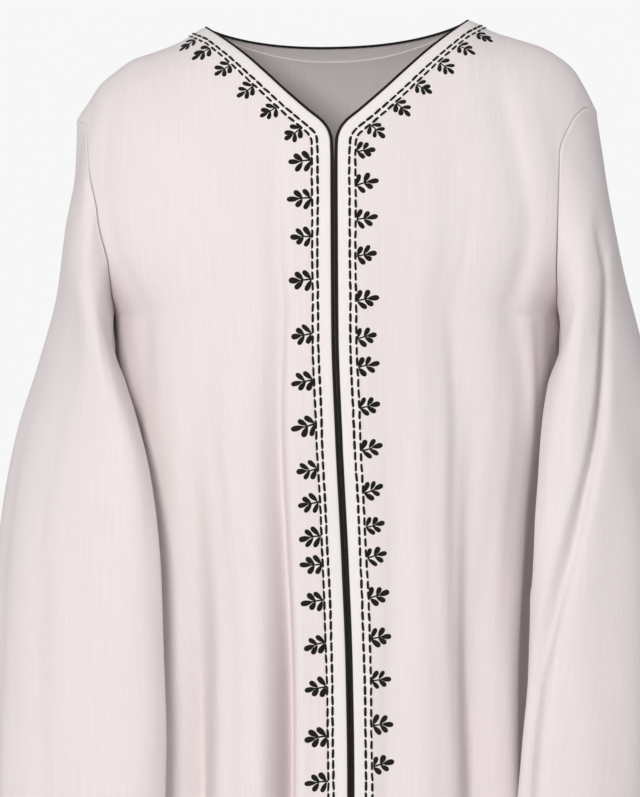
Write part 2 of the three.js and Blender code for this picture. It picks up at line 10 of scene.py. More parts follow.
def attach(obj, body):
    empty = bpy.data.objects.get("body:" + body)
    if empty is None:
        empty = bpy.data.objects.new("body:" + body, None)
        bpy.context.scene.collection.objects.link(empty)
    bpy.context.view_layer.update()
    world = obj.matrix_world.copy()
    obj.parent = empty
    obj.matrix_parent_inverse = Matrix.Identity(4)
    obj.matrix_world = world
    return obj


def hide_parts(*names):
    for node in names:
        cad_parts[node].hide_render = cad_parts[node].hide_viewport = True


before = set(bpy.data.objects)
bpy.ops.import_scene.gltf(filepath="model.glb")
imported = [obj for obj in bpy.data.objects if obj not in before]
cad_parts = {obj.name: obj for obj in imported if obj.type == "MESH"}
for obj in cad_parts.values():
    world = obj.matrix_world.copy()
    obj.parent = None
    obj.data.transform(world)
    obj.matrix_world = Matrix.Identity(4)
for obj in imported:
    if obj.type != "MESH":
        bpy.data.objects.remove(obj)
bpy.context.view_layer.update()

RNG = np.random.default_rng(7)

# ---------------------------------------------------------------- sizes of the cut and the hang
SLANT_END = 330.0  # below this drop a level line round the body is horizontal
NECK_HALF = 112.0  # half width of the neck opening at the shoulder seams
BACK_NECK_DROP = 20.0
BACK_BAND_DROP = 33.0
UNDERARM = 250.0
HEM = 1400.0
ROUND = 2.3
BAND_WIDTH = 17.4
PIPING = 2.7
SEAM = 0.06
CLOTH = 0.9
TURNED = 22.0  # depth of the turned hem and cuffs

BODY = dict(
    drop=[0, 2, 7, 15, 27, 42, 60, 100, 150, 190, 225, 250, 275, 330, 430, 560, 680, 800, 1000, 1200, 1400],
    half=[221, 222, 223, 224, 225, 227, 228, 230, 228, 218, 201, 190, 189.5, 187, 175, 167, 169, 186, 221, 259, 292],
    front=[0, 14, 26, 38, 51, 62, 72, 88, 102, 110, 114, 116, 117, 118, 117, 119, 124, 136, 158, 180, 200],
    back=[0, 13, 24, 35, 47, 58, 68, 84, 96, 102, 105, 106, 106, 105, 104, 108, 116, 128, 150, 170, 190],
)
SHOULDER = dict(
    out=[112, 124, 137, 155, 175, 189, 202, 212, 221],
    right=[-3, -10, -17, -24, -31, -41, -52, -67, -80],
    left=[3, -2.5, -8, -13.5, -20, -28, -39, -55, -73],
)
NECK_EDGE = dict(
    drop=[0, 11.5, 24.5, 40, 58, 75, 85, 92, 101, 120, 1400],
    gap=[112, 95, 78, 60.5, 41, 21.5, 9.5, 4.6, 2.1, 1.65, 1.65],
)
CENTRE = dict(
    drop=[0, 100, 260, 350, 460, 550, 650, 1000, 1400],
    stray=[0, -2.6, -1.9, 1.3, 6.8, 10.2, 11.6, 9, 5],
)
ARMHOLE = dict(
    drop=[0, 7, 27, 60, 100, 150, 190, 225, 242, 250],
    right=[90, 82, 72.5, 68.4, 65.3, 62.8, 63.6, 73, 81, 90],
    left=[90, 80, 70, 61.5, 55.7, 55.5, 59, 69, 79, 90],
    back=[90, 81, 72, 67, 63, 61, 62.5, 71, 80, 90],
)
# Folds of the body. Angle round the body at drops 60, 200, 425 and 650 (0 = front middle, minus = wearer's
# right), depth into the body at drops 60, 200, 425, 650 and 1400 (minus = a ridge), width towards smaller
# and larger angles, and how much wider it is at the hem.
FOLD_COLUMNS = "a60 a200 a425 a650 d60 d200 d425 d650 d1400 wl wr spread".split()
FOLDS = [
    # beside the front edge, wearer's right: a sharp lit edge on the inner side
    (-11, -12.8, -17.2, -18.7, 0, 5, 21, 38, 37, 12.5, 4.6, 2.0),
    (-24, -28.4, -46.0, -51.8, 0, 0.3, 8, 22.5, 29, 12, 20, 2.0),
    (-58, -58, -74, -82, 0, 0, 7, 9, 22, 16, 16, 1.9),
    (-115, -112, -103, -104, 0, 0, 12, 20, 26, 16, 16, 1.9),
    (-130, -128, -127, -126, 0, 1, 8, 17, 27, 17, 13, 1.9),
    (-152, -151, -150, -148, 0, 2, 9, 14, 22, 12, 16, 1.9),
    (176, 176, 175, 173, 0, 1, 6, 15, 26, 15, 15, 2),
    (156, 154, 150, 147, 0, 1, 7, 17, 24, 15, 11, 2),
    (134, 131, 127, 124, 0, 3, 10, 13, 22, 14, 16, 1.9),
    (112, 110, 104, 101, 0, 0, 10, 19, 27, 16, 16, 1.9),
    (72, 74, 80, 79, 0, 0, 8, 20, 24, 7, 12, 2),
    (25, 28.5, 39.6, 43.4, 0, 3.0, 8, 21, 26, 16, 22, 1.9),
    (13, 13.2, 14.1, 10.9, 0, 0, 2, 4, 6, 9, 15, 1.8),
    (39, 49, 62, 62, 2.4, 3.2, 1.6, 0, 0, 14, 8, 1.5),
]
# Smaller creases that only the cloth has: same columns.
CREASES = [
    (47, 57, 62, 61, -1.2, -1.6, -5, -7.5, -4, 15, 8, 1.3),
    (-58, -59, -60, -62, 0.9, 0.8, 0, 0, 0, 6, 8, 1),
    (-66, -66, -66, -66, -1.2, -0.9, 0, 0, 0, 6, 6, 1),
    (-34, -36, -35, -36, 0, 0, 0.9, 1.6, 3, 9, 7, 2),
    (-8, -9, -12.5, -13.5, 0, 0, -0.6, -1.6, -2, 6, 5, 2),
    (-27, -29, -31, -30, 0, 0, -0.8, -1.2, -3, 10, 9, 2),
    (-60, -60, -60, -62, 0, 0, -2.5, -6, -3, 12, 10, 2),
    (22, 22, 22.5, 24, 0, -0.6, -1.4, -2.2, -5, 11, 9, 2),
    (50, 50, 50.5, 52, 0, 0, 0, 0, -4, 9, 8, 2),
    (30, 31, 33, 34, 0, 0.8, 1.6, 0.6, 0, 6, 6, 1.5),
    (-140, -139, -138, -137, 0, 0, -2, -3, -6, 10, 10, 2),
    (-162, -163, -164, -163, 0, 1, 3, 4, 9, 9, 12, 2),
    (165, 164, 163, 161, 0, 0, -2, -3, -6, 10, 10, 2),
    (141, 141, 139, 137, 0, 1.5, 3, 5, 10, 8, 10, 2),
    (-170, -171, -173, -174, 0, -0.8, -1.4, -1.5, -3, 9, 9, 2),
    (118, 118, 116, 113, 0, 0, 3, 5, 9, 9, 8, 2),
    (-118, -118, -115, -115, 0, 0, 2.5, 5, 8, 8, 10, 2),
    (88, 88, 89, 90, 0, 0, 0.8, 1.2, 12, 10, 10, 2),
    (-88, -88, -90, -91, 0, 0, 1, 2, 13, 10, 10, 2),
    (60, 60, 60, 62, 0, 0, 0, 2, 10, 10, 10, 2),
    (-64, -64, -65, -66, 0, 0, 0, 2, 11, 10, 10, 2),
    (24, 24, 24, 24, 0, 0, 0, 0, 7, 9, 10, 2),
    (-35, -35, -35, -35, 0, 0, 0, 0, 8, 10, 9, 2),
]
SLEEVE_COLUMNS = "outX outY outZ inX inY inZ thick".split()
SLEEVES = {
    "right": [
        (221, 0, -80, 188.8, 0, -253, 60),
        (223, 2, -125, 188.6, -38, -277, 56),
        (230, 4, -170, 179, -62, -307, 56),
        (236, 6, -225, 167, -83, -346, 52),
        (252, 6, -285, 157.5, -94, -386, 48),
        (271, 2, -350, 151.5, -101, -430, 46),
        (285, -6, -430, 148, -103, -486, 44),
        (293, -14, -520, 145.5, -102, -551, 44),
        (297, -20, -600, 144, -101, -615, 45),
        (299, -24, -680, 145, -102, -680, 46),
    ],
    "left": [
        (221, 0, -73, 188.8, 0, -252, 60),
        (227, 2, -112, 188.6, -38, -277, 56),
        (233, 4, -155, 179, -62, -307, 56),
        (242, 6, -205, 173, -79, -346, 52),
        (258, 6, -268, 170, -92, -386, 48),
        (274, 2, -338, 167, -101, -430, 46),
        (286, -6, -422, 166.5, -107, -486, 44),
        (294, -14, -512, 165, -110, -551, 44),
        (298, -20, -600, 158.5, -112, -615, 45),
        (300, -24, -680, 153, -112, -680, 46),
    ],
}
TWIST = 27.0
TUCK = 18.0
# Folds of the sleeves: ring number and angle (0 outside, 90 front, 180 inside, 270 back) at three places,
# depth there, width towards smaller and larger angles.
SLEEVE_FOLD_COLUMNS = "r0 r1 r2 a0 a1 a2 d0 d1 d2 wl wr".split()
SLEEVE_FOLDS = {
    "right": [
        (1, 5, 9, 250, 262, 268, 1, 8, 12, 13, 13),
        (2, 6, 9, 315, 318, 322, 0, 5, 9, 13, 13),
        (3, 6, 9, 30, 35, 38, 0, 2.5, 6, 14, 14),
        (1, 4, 9, 120, 128, 118, 1.2, 1.5, 2.5, 9, 12),
        (4, 6.5, 9, 72, 78, 84, 0, 1.6, 2.8, 10, 12),
        (2, 5, 9, 290, 292, 300, 1, 3, 4, 8, 9),
        (2, 5, 8, 225, 232, 240, 1, 3, 2, 8, 8),
        (3, 5, 9, 345, 350, 354, 0, 2, 5, 10, 10),
    ],
    "left": [
        (2.2, 4.5, 7.2, 62, 113, 180, 7.0, 14, 9, 14, 6.5),
        (4, 7, 9, 62, 70, 78, 0, 2, 4, 14, 14),
        (1, 5, 9, 245, 255, 262, 1, 7, 12, 13, 13),
        (2, 6, 9, 308, 315, 318, 1, 6, 9, 12, 12),
        (1, 4, 8, 100, 140, 165, 1.0, 2, 1, 7, 8),
        (3, 5, 9, 30, 28, 24, 0, 1.6, 4, 10, 12),
        (2, 5, 9, 280, 286, 292, 1, 3, 4, 8, 9),
        (3, 5, 9, 345, 348, 350, 0, 2, 5, 10, 10),
    ],
}


# ---------------------------------------------------------------- a smooth curve through a column
def column(x, y, warp=None):
    """A function through (x, y) with no overshoot, over the warped x."""
    w = (lambda v: np.asarray(v, float)) if warp is None else (lambda v: warp(np.maximum(np.asarray(v, float), 0)))
    x, y = w(x), np.asarray(y, float)
    h = np.diff(x)
    s = np.diff(y) / h
    m = np.zeros(len(x))
    m[0], m[-1] = s[0], s[-1]
    for i in range(1, len(x) - 1):
        if s[i - 1] * s[i] > 0:
            m[i] = 3 * (h[i - 1] + h[i]) / ((2 * h[i] + h[i - 1]) / s[i - 1] + (h[i] + 2 * h[i - 1]) / s[i])

    def at(v):
        v = np.clip(w(v), x[0], x[-1])
        i = np.clip(np.searchsorted(x, v, side="right") - 1, 0, len(x) - 2)
        t = (v - x[i]) / h[i]
        return (
            y[i] * (1 + 2 * t) * (1 - t) ** 2
            + m[i] * h[i] * t * (1 - t) ** 2
            + y[i + 1] * t * t * (3 - 2 * t)
            + m[i + 1] * h[i] * t * t * (t - 1)
        )

    return at


half = column(BODY["drop"], BODY["half"], np.sqrt)
front_depth = column(BODY["drop"], BODY["front"], np.sqrt)
back_depth = column(BODY["drop"], BODY["back"], np.sqrt)
shoulder_right = column(SHOULDER["out"], SHOULDER["right"])
shoulder_left = column(SHOULDER["out"], SHOULDER["left"])
neck_gap = column(NECK_EDGE["drop"], NECK_EDGE["gap"])
stray = column(CENTRE["drop"], CENTRE["stray"])
armhole = {k: column(ARMHOLE["drop"], ARMHOLE[k]) for k in ("right", "left", "back")}


def fold_lines(table):
    out = []
    for row in table:
        f = dict(zip(FOLD_COLUMNS, row))
        f["angle"] = column([60, 200, 425, 650, 1400], [f["a60"], f["a200"], f["a425"], f["a650"], f["a650"]])
        f["depth"] = column([60, 200, 425, 650, 1400], [f["d60"], f["d200"], f["d425"], f["d650"], f["d1400"]])
        out.append(f)
    return out


FOLD_LINES = fold_lines(FOLDS + CREASES)


def relief(angle, drop):
    """Depth of the folds into the body."""
    w, f = half(drop), front_depth(drop)
    total = np.zeros(np.broadcast(angle, drop).shape)
    fade = np.clip((drop - 12) / 48, 0, 1) ** 2
    for fold in FOLD_LINES:
        a = fold["angle"](drop)
        reach = np.hypot(w * np.cos(np.radians(a)), f * np.sin(np.radians(a))) * math.pi / 180
        d = (angle - a + 180) % 360 - 180
        grow = 1 + (fold["spread"] - 1) * np.clip((drop - 650) / 750, 0, 1)
        wide = np.where(d < 0, fold["wl"], fold["wr"]) * grow
        total = total + fold["depth"](drop) * fade * np.exp(-((d * reach / wide) ** 2))
    # the slight wandering of hanging cloth: long down the body, short across it
    a = np.radians(angle)
    calm = np.clip((drop - 80) / 300, 0.0, 1)
    sway = (
        0.35 * np.sin(19 * a + 0.9 * np.sin(drop / 170.0) + 1.1)
        + 0.28 * np.sin(31 * a - 0.8 * np.sin(drop / 120.0 + 1.7) + 0.4)
        + 0.30 * np.sin(11 * a + 1.2 * np.sin(drop / 210.0 + 0.6))
        + 0.16 * np.sin(47 * a + 1.1 * np.sin(drop / 95.0 + 2.1))
    )
    soft = 0.25 * np.sin(drop / 43.0 + 5 * a) * np.sin(7 * a + 0.7) + 0.18 * np.sin(drop / 27.0 - 9 * a + 2.0)
    return total + (sway * calm + soft * (1 - 0.5 * calm)) * np.clip((drop - 20) / 60, 0, 1)


def body(angle, drop):
    """Points of the body's outside, (..., 3)."""
    angle, drop = np.broadcast_arrays(np.asarray(angle, float), np.asarray(drop, float))
    behind = np.abs(angle) > 90
    a = np.where(behind, np.sign(angle) * (180 - np.abs(angle)), angle)
    q = np.sin(np.radians(a))
    w = half(drop)
    depth = np.where(behind, back_depth(drop), front_depth(drop))
    p = np.abs(q)
    c = np.maximum(0, 1 - p**ROUND)
    s = np.where(behind, 1.0, -1.0)
    x = w * q
    y = s * depth * c ** (1 / ROUND)
    nx = np.sign(q) * p ** (ROUND - 1) / w
    ny = s * c ** ((ROUND - 1) / ROUND) / np.maximum(depth, 1)
    n = np.hypot(nx, ny)
    r = relief(angle, drop)
    x = x - r * nx / n
    y = y - r * ny / n
    x = np.where(behind, x, x + stray(drop) * (1 - q * q))
    out = np.abs(x)
    slope = np.where(x < 0, shoulder_right(out), shoulder_left(out))
    rise = np.where(out < NECK_HALF, 3 * x / NECK_HALF, slope)
    fade = np.maximum(0, 1 - drop / SLANT_END) ** 2
    return np.stack([x, y + s * SEAM, -drop + rise * fade], -1)


def unit(v):
    return v / np.maximum(np.linalg.norm(v, axis=-1, keepdims=True), 1e-9)


def grid_normals(p, wrap=False):
    """Normals of a grid of points, rows down the cloth and columns along it."""
    if wrap:
        e = np.concatenate([p[:, -1:], p, p[:, :1]], 1)
        du = (e[:, 2:] - e[:, :-2]) / 2
    else:
        du = np.gradient(p, axis=1)
    dv = np.gradient(p, axis=0)
    return unit(np.cross(du, dv))


# ---------------------------------------------------------------- the edge of the neck and front
def edge_angle(sign, drop):
    return np.degrees(np.arcsin(sign * neck_gap(drop) / half(drop)))


EDGE_DROPS = np.concatenate([np.arange(0, 10.2, 0.05) ** 2, np.arange(105, HEM + 1, 2.5)])
EDGE_DROPS = EDGE_DROPS[EDGE_DROPS <= HEM]
EDGE = {s: body(edge_angle(g, EDGE_DROPS), EDGE_DROPS) for s, g in (("right", -1), ("left", 1))}


def angles_out(side, drops, distances):
    """Angle on each row at which the surface is at each distance from the edge line: (rows, distances)."""
    g = -1 if side == "right" else 1
    line = EDGE[side]
    reach = max(distances) * 2.6 + 6
    out = np.empty((len(drops), len(distances)))
    drops = np.asarray(drops, float)
    first = np.abs(edge_angle(g, drops))
    span = np.degrees(reach / (half(drops) * np.maximum(0.5, np.cos(np.radians(first)))))
    angles = first[:, None] + np.linspace(0, 1, 48)[None] * span[:, None]
    points = body(g * angles, drops[:, None])
    for i, drop in enumerate(drops):
        a, p = angles[i], points[i]
        near = line[np.abs(EDGE_DROPS - drop) < 75]
        seg0, seg1 = near[:-1], near[1:]
        d = seg1 - seg0
        t = np.clip(np.einsum("ijk,jk->ij", p[:, None] - seg0[None], d) / np.einsum("jk,jk->j", d, d), 0, 1)
        dist = np.linalg.norm(p[:, None] - (seg0[None] + t[..., None] * d[None]), axis=-1).min(1)
        dist = np.maximum.accumulate(dist)
        dist += np.arange(len(dist)) * 1e-7
        out[i] = g * np.interp(distances, dist, a)
    return out


# ---------------------------------------------------------------- meshes
def material_slot(obj, mat):
    obj.data.materials.append(mat)


def mesh_object(name, points, faces, uv=None, smooth=True):
    me = bpy.data.meshes.new(name)
    me.vertices.add(len(points))
    me.vertices.foreach_set("co", (np.asarray(points, float) * 0.001).astype(np.float32).ravel())
    faces = np.asarray(faces, np.int32)
    n, k = faces.shape
    me.loops.add(n * k)
    me.loops.foreach_set("vertex_index", faces.ravel())
    me.polygons.add(n)
    me.polygons.foreach_set("loop_start", np.arange(0, n * k, k, dtype=np.int32))
    me.update(calc_edges=True)
    if smooth:
        me.polygons.foreach_set("use_smooth", np.ones(n, bool))
    if uv is not None:
        layer = me.uv_layers.new(name="cloth")
        layer.data.foreach_set("uv", np.asarray(uv, np.float32)[faces.ravel()].ravel())
    me.validate()
    obj = bpy.data.objects.new(name, me)
    bpy.context.collection.objects.link(obj)
    return obj


def plumb_uv(outer):
    """As metric_uv, with the warp plumb: the rows start at their own distance from the middle plane."""
    uv = metric_uv(outer)
    uv[..., 0] += -uv[:, :1, 0] + 0.001 * np.abs(outer[:, :1, 0])
    uv[..., 1] += 0.001 * outer[:1, :, 2]
    return uv


def metric_uv(outer):
    """Distance along the rows and down the columns, in metres."""
    across = np.concatenate([np.zeros((outer.shape[0], 1)), np.cumsum(np.linalg.norm(np.diff(outer, axis=1), axis=-1), 1)], 1)
    across -= across[:, -1:] / 2
    down = np.concatenate([np.zeros((1, outer.shape[1])), np.cumsum(np.linalg.norm(np.diff(outer, axis=0), axis=-1), 0)], 0)
    return np.stack([across, -down], -1) * 0.001


def shell(name, outer, inner, closed=False, uv=None):
    """A closed thin wall between two grids of points."""
    r, c = outer.shape[:2]
    pts = np.concatenate([outer.reshape(-1, 3), inner.reshape(-1, 3)])
    uv = metric_uv(outer) if uv is None else uv
    uvs = np.concatenate([uv.reshape(-1, 2), uv.reshape(-1, 2)])
    idx = np.arange(r * c).reshape(r, c)
    nxt = np.roll(idx, -1, 1) if closed else idx[:, 1:]
    cur = idx if closed else idx[:, :-1]
    o = np.stack([cur[:-1], nxt[:-1], nxt[1:], cur[1:]], -1).reshape(-1, 4)
    i = o[:, ::-1] + r * c
    rims = []

    def rim(a, b):
        rims.append(np.stack([a[:-1], a[1:], b[1:], b[:-1]], -1).reshape(-1, 4))

    top, bottom = idx[0], idx[-1]
    if closed:
        top, bottom = np.append(top, top[0]), np.append(bottom, bottom[0])
    rim(top[::-1], top[::-1] + r * c)
    rim(bottom, bottom + r * c)
    if not closed:
        rim(idx[:, 0], idx[:, 0] + r * c)
        rim(idx[::-1, -1], idx[::-1, -1] + r * c)
    faces = np.concatenate([o, i, *rims])
    # faces point out: test one outer face against the direction from inner to outer
    f = o[len(o) // 2]
    n = np.cross(pts[f[1]] - pts[f[0]], pts[f[2]] - pts[f[0]])
    if np.dot(n, pts[f[0]] - pts[f[0] + r * c]) < 0:
        faces = faces[:, ::-1]
    return mesh_object(name, pts, faces, uvs)


def turned_edge(drop_to_edge):
    """Extra thickness of the turned hem, from its upper stitched line to the edge."""
    return 0.45 * np.clip((TURNED - drop_to_edge) / 1.5, 0, 1) - 0.35 * np.exp(-(((drop_to_edge - TURNED) / 1.2) ** 2))


ROWS = np.concatenate([np.arange(0, 10.05, 0.14) ** 2, np.arange(104, HEM - 30, 5.6), np.arange(HEM - 30, HEM - 18, 0.75), np.linspace(HEM - 17.5, HEM, 6)])
PARTS = {}


def offset_in(outer, normals, base, extra):
    return outer - normals * base, outer + normals * np.asarray(extra)[..., None]


def make_front(side):
    g = -1 if side == "right" else 1
    border = np.abs(angles_out(side, ROWS, [15.4])[:, 0])
    end = np.where(ROWS < UNDERARM, armhole[side](ROWS), 90.0)
    # columns a little closer together near the front edge
    k = np.linspace(0, 1, 108)
    k = 0.7 * k + 0.3 * k**2
    angle = g * (border[:, None] + (end - border)[:, None] * k[None])
    p = body(angle, ROWS[:, None])
    n = grid_normals(p)
    if n[len(n) // 2, 10, 1] > 0:
        n = -n
    n[0, :, 1] = 0
    below = ROWS >= UNDERARM
    n[below, -1, 1] = 0
    n = unit(n)
    up = turned_edge(HEM - ROWS)
    outer = p + n * up[:, None, None]
    inner = p - n * (CLOTH + 0.5 * np.maximum(up, 0))[:, None, None]
    return shell(f"crepe_front_{side}", outer, inner, uv=plumb_uv(outer)), p, n


def dip(f, drop):
    return drop * np.maximum(0, 1 - np.abs(f) ** 2.2) ** 0.9


def behind(a):
    return np.where(a < 0, -180 - a, 180 - a)


NECK_BAND_FRACTION = 0.3933


def make_back():
    k = np.linspace(-1, 1, 151)
    rows = ROWS
    level = np.maximum(0, 1 - rows / 101)[:, None]
    f = np.abs(k)[None]
    drop = rows[:, None] + dip(np.minimum(1, f / NECK_BAND_FRACTION), BACK_BAND_DROP - 2.0) * level
    end = np.where(drop < UNDERARM, armhole["back"](drop), 90.0)
    border = abs(float(angles_out("right", [0.0], [15.4])[0, 0])), abs(float(angles_out("left", [0.0], [15.4])[0, 0]))
    b = np.where(k < 0, border[0], border[1])[None]
    shift = (b - NECK_BAND_FRACTION * 90) * level * np.where(f < NECK_BAND_FRACTION, f / NECK_BAND_FRACTION, (1 - f) / (1 - NECK_BAND_FRACTION))
    a = behind(k[None] * end + np.sign(k)[None] * shift)
    a = np.where(np.abs(a) <= 90.0001, np.sign(a) * 90.0001, a)
    p = body(a, drop)
    n = grid_normals(p)
    if n[len(n) // 2, 75, 1] < 0:
        n = -n
    n[0, np.abs(k) >= NECK_BAND_FRACTION, 1] = 0
    n[rows >= UNDERARM, 0, 1] = 0
    n[rows >= UNDERARM, -1, 1] = 0
    n = unit(n)
    up = turned_edge(HEM - rows)
    outer = p + n * up[:, None, None]
    inner = p - n * (CLOTH + 0.5 * np.maximum(up, 0))[:, None, None]
    return shell("crepe_back", outer, inner), p, n


# ---------------------------------------------------------------- sleeves
def make_sleeve(side):
    g = -1 if side == "right" else 1
    table = dict(zip(SLEEVE_COLUMNS, zip(*SLEEVES[side])))
    rings = np.arange(10.0)
    get = {k: column(rings, v) for k, v in table.items()}
    folds = []
    for row in SLEEVE_FOLDS[side]:
        f = dict(zip(SLEEVE_FOLD_COLUMNS, row))
        f["angle"] = column([f["r0"], f["r1"], f["r2"]], [f["a0"], f["a1"], f["a2"]])
        f["depth"] = column([f["r0"], f["r1"], f["r2"]], [f["d0"], f["d1"], f["d2"]])
        folds.append(f)

    def ring(t, phi):
        t, phi = np.broadcast_arrays(np.asarray(t, float), np.asarray(phi, float))
        O = np.stack([g * get["outX"](t), get["outY"](t), get["outZ"](t)], -1)
        I = np.stack([g * get["inX"](t), get["inY"](t), get["inZ"](t)], -1)
        C, A = (O + I) / 2, (O - I) / 2
        twist = np.radians(TWIST) * np.minimum(1, t / 6)
        D = np.stack([g * np.sin(twist), -np.cos(twist), 0 * t], -1) * get["thick"](t)[..., None]
        co, si = np.cos(np.radians(phi)), np.sin(np.radians(phi))
        p = C + A * co[..., None] + D * si[..., None]
        tuck = np.where(
            phi > 180,
            TUCK * np.sin(np.pi * np.clip((phi - 180) / 150, 0, 1)) * np.abs(np.sin(np.pi / 6 * np.minimum(t, 3 if side == "right" else 6))) ** 0.6,
            0,
        )
        p = p + np.stack([g * tuck, 0 * tuck, 0 * tuck], -1)
        depth = np.zeros(t.shape)
        la, ld = np.linalg.norm(A, axis=-1), np.linalg.norm(D, axis=-1)
        for f in folds:
            ease = np.clip(t - f["r0"] + 1, 0, 1)
            ease = ease * ease * (3 - 2 * ease)
            d = (phi - f["angle"](t) + 180) % 360 - 180
            reach = np.hypot(la * si, ld * co) * math.pi / 180
            depth = depth + f["depth"](t) * ease * np.exp(-((d * reach / np.where(d < 0, f["wl"], f["wr"])) ** 2))
        a = np.radians(phi)
        calm = np.clip(t / 3, 0, 1)
        depth = depth + calm * (
            0.45 * np.sin(6 * a + 0.7 * np.sin(1.3 * t) + (1.0 if g > 0 else 2.2))
            + 0.3 * np.sin(11 * a - 0.9 * np.sin(1.9 * t + 1) + 0.5)
            + 0.25 * np.sin(3.1 * t + 4 * a)
        )
        return p + unit(C - p) * depth[..., None]

    drops = np.linspace(0, math.sqrt(UNDERARM), 260) ** 2
    loop_front = body(g * armhole[side](drops), drops)
    loop_back = body(g * np.maximum(180 - armhole["back"](drops), 90.0001), drops)
    for end in (0, -1):
        mid = (loop_front[end] + loop_back[end]) / 2
        loop_front[end] = loop_back[end] = mid

    def along(line):
        s = np.concatenate([[0], np.cumsum(np.linalg.norm(np.diff(line, axis=0), axis=1))])
        return s / s[-1]

    count = 112
    phi = np.arange(count) * 360 / count
    sf, sb = along(loop_front), along(loop_back)
    # the drop at each angle, so that the seam keeps the points of the panels
    pf = np.stack([np.interp(phi / 180, sf, loop_front[:, i]) for i in range(3)], -1)
    pb = np.stack([np.interp((360 - phi) / 180, sb, loop_back[:, i]) for i in range(3)], -1)
    start = np.where((phi <= 180)[:, None], pf, pb) + np.array([g * 0.8, 0, -0.6]) * 0.22
    t = np.concatenate([np.linspace(0, 2, 44) ** 1.0, np.linspace(2.04, 8.6, 104), np.linspace(8.63, 8.80, 10), np.linspace(8.84, 9, 6)])
    p = ring(t[:, None], phi[None])
    w = np.maximum(0, 1 - t / 2.6) ** 2
    p = p + (start - ring(np.zeros(count), phi))[None] * w[:, None, None]
    n = grid_normals(p, wrap=True)
    c = p.mean(1, keepdims=True)
    if ((p - c) * n).sum() < 0:
        n = -n
    to_edge = (9 - t) * 70.0
    up = turned_edge(to_edge)
    # the armhole seam: allowances pressed towards the sleeve lift it slightly
    dist = np.concatenate([[0], np.cumsum(np.linalg.norm(np.diff(p, axis=0), axis=-1).mean(1))])
    seam = 0.5 * np.exp(-(((dist - 2.2) / 2.4) ** 2)) - 0.25 * np.exp(-((dist / 1.0) ** 2))
    outer = p + n * (up + seam)[:, None, None]
    inner = p - n * (CLOTH + 0.5 * np.maximum(up, 0))[:, None, None]
    # one more column with the first one's points gives the rows their own end for the measured map
    uv = metric_uv(np.concatenate([outer, outer[:, :1]], 1))[:, :-1]
    return shell(f"crepe_sleeve_{side}", outer, inner, closed=True, uv=uv)


# ---------------------------------------------------------------- bands
BAND_PROFILE = [(0.0, -0.1), (0.15, 0.42), (0.7, 0.72), (3.0, 0.8), (8.0, 0.8), (13.0, 0.78), (15.2, 0.72), (15.9, 0.45), (16.1, 0.0)]


def make_band(side):
    rows = ROWS[:-6]
    rows = np.append(rows, HEM)
    start = PIPING / 2 + 0.05
    dist = [start + d for d, _ in BAND_PROFILE]
    angle = angles_out(side, rows, dist)
    p = body(angle, rows[:, None])
    n = grid_normals(p)
    if n[len(n) // 2, 3, 1] > 0:
        n = -n
    n[0, :, 1] = 0
    n = unit(n)
    lift = np.array([h for _, h in BAND_PROFILE])
    outer = p + n * lift[None, :, None]
    inner = p - n * 0.12
    inner[:, 0] = outer[:, 0] - n[:, 0] * 0.5
    PARTS["band_" + side] = (p, n)
    return shell(f"band_front_{side}", outer, inner)


def neck_rows():
    """Columns round the back of the neck: the neck edge and the band's outer edge."""
    f = np.linspace(-1, 1, 121)
    near = {}
    for s in ("right", "left"):
        a = angles_out(s, [0.0], [PIPING / 2 + 0.05, BAND_WIDTH])
        near[s] = np.abs(a[0])
    a0 = np.where(f < 0, near["right"][0], near["left"][0])
    a1 = np.where(f < 0, near["right"][1], near["left"][1])
    return f, a0, a1


def make_band_back():
    f, a0, a1 = neck_rows()
    share = np.array([d / BAND_PROFILE[-1][0] for d, _ in BAND_PROFILE])
    angle = behind(f[:, None] * (a0[:, None] + (a1 - a0)[:, None] * share[None]))
    drop = dip(f[:, None], BACK_NECK_DROP + (BACK_BAND_DROP - BACK_NECK_DROP) * share[None])
    p = body(angle, drop)
    n = grid_normals(p)
    if n[60, 3, 2] < 0:
        n = -n
    n[0, :, 1] = 0
    n[-1, :, 1] = 0
    n = unit(n)
    lift = np.array([h for _, h in BAND_PROFILE])
    outer = p + n * lift[None, :, None]
    inner = p - n * 0.12
    PARTS["band_back"] = (p, n)
    return shell("band_neck_back", outer, inner)


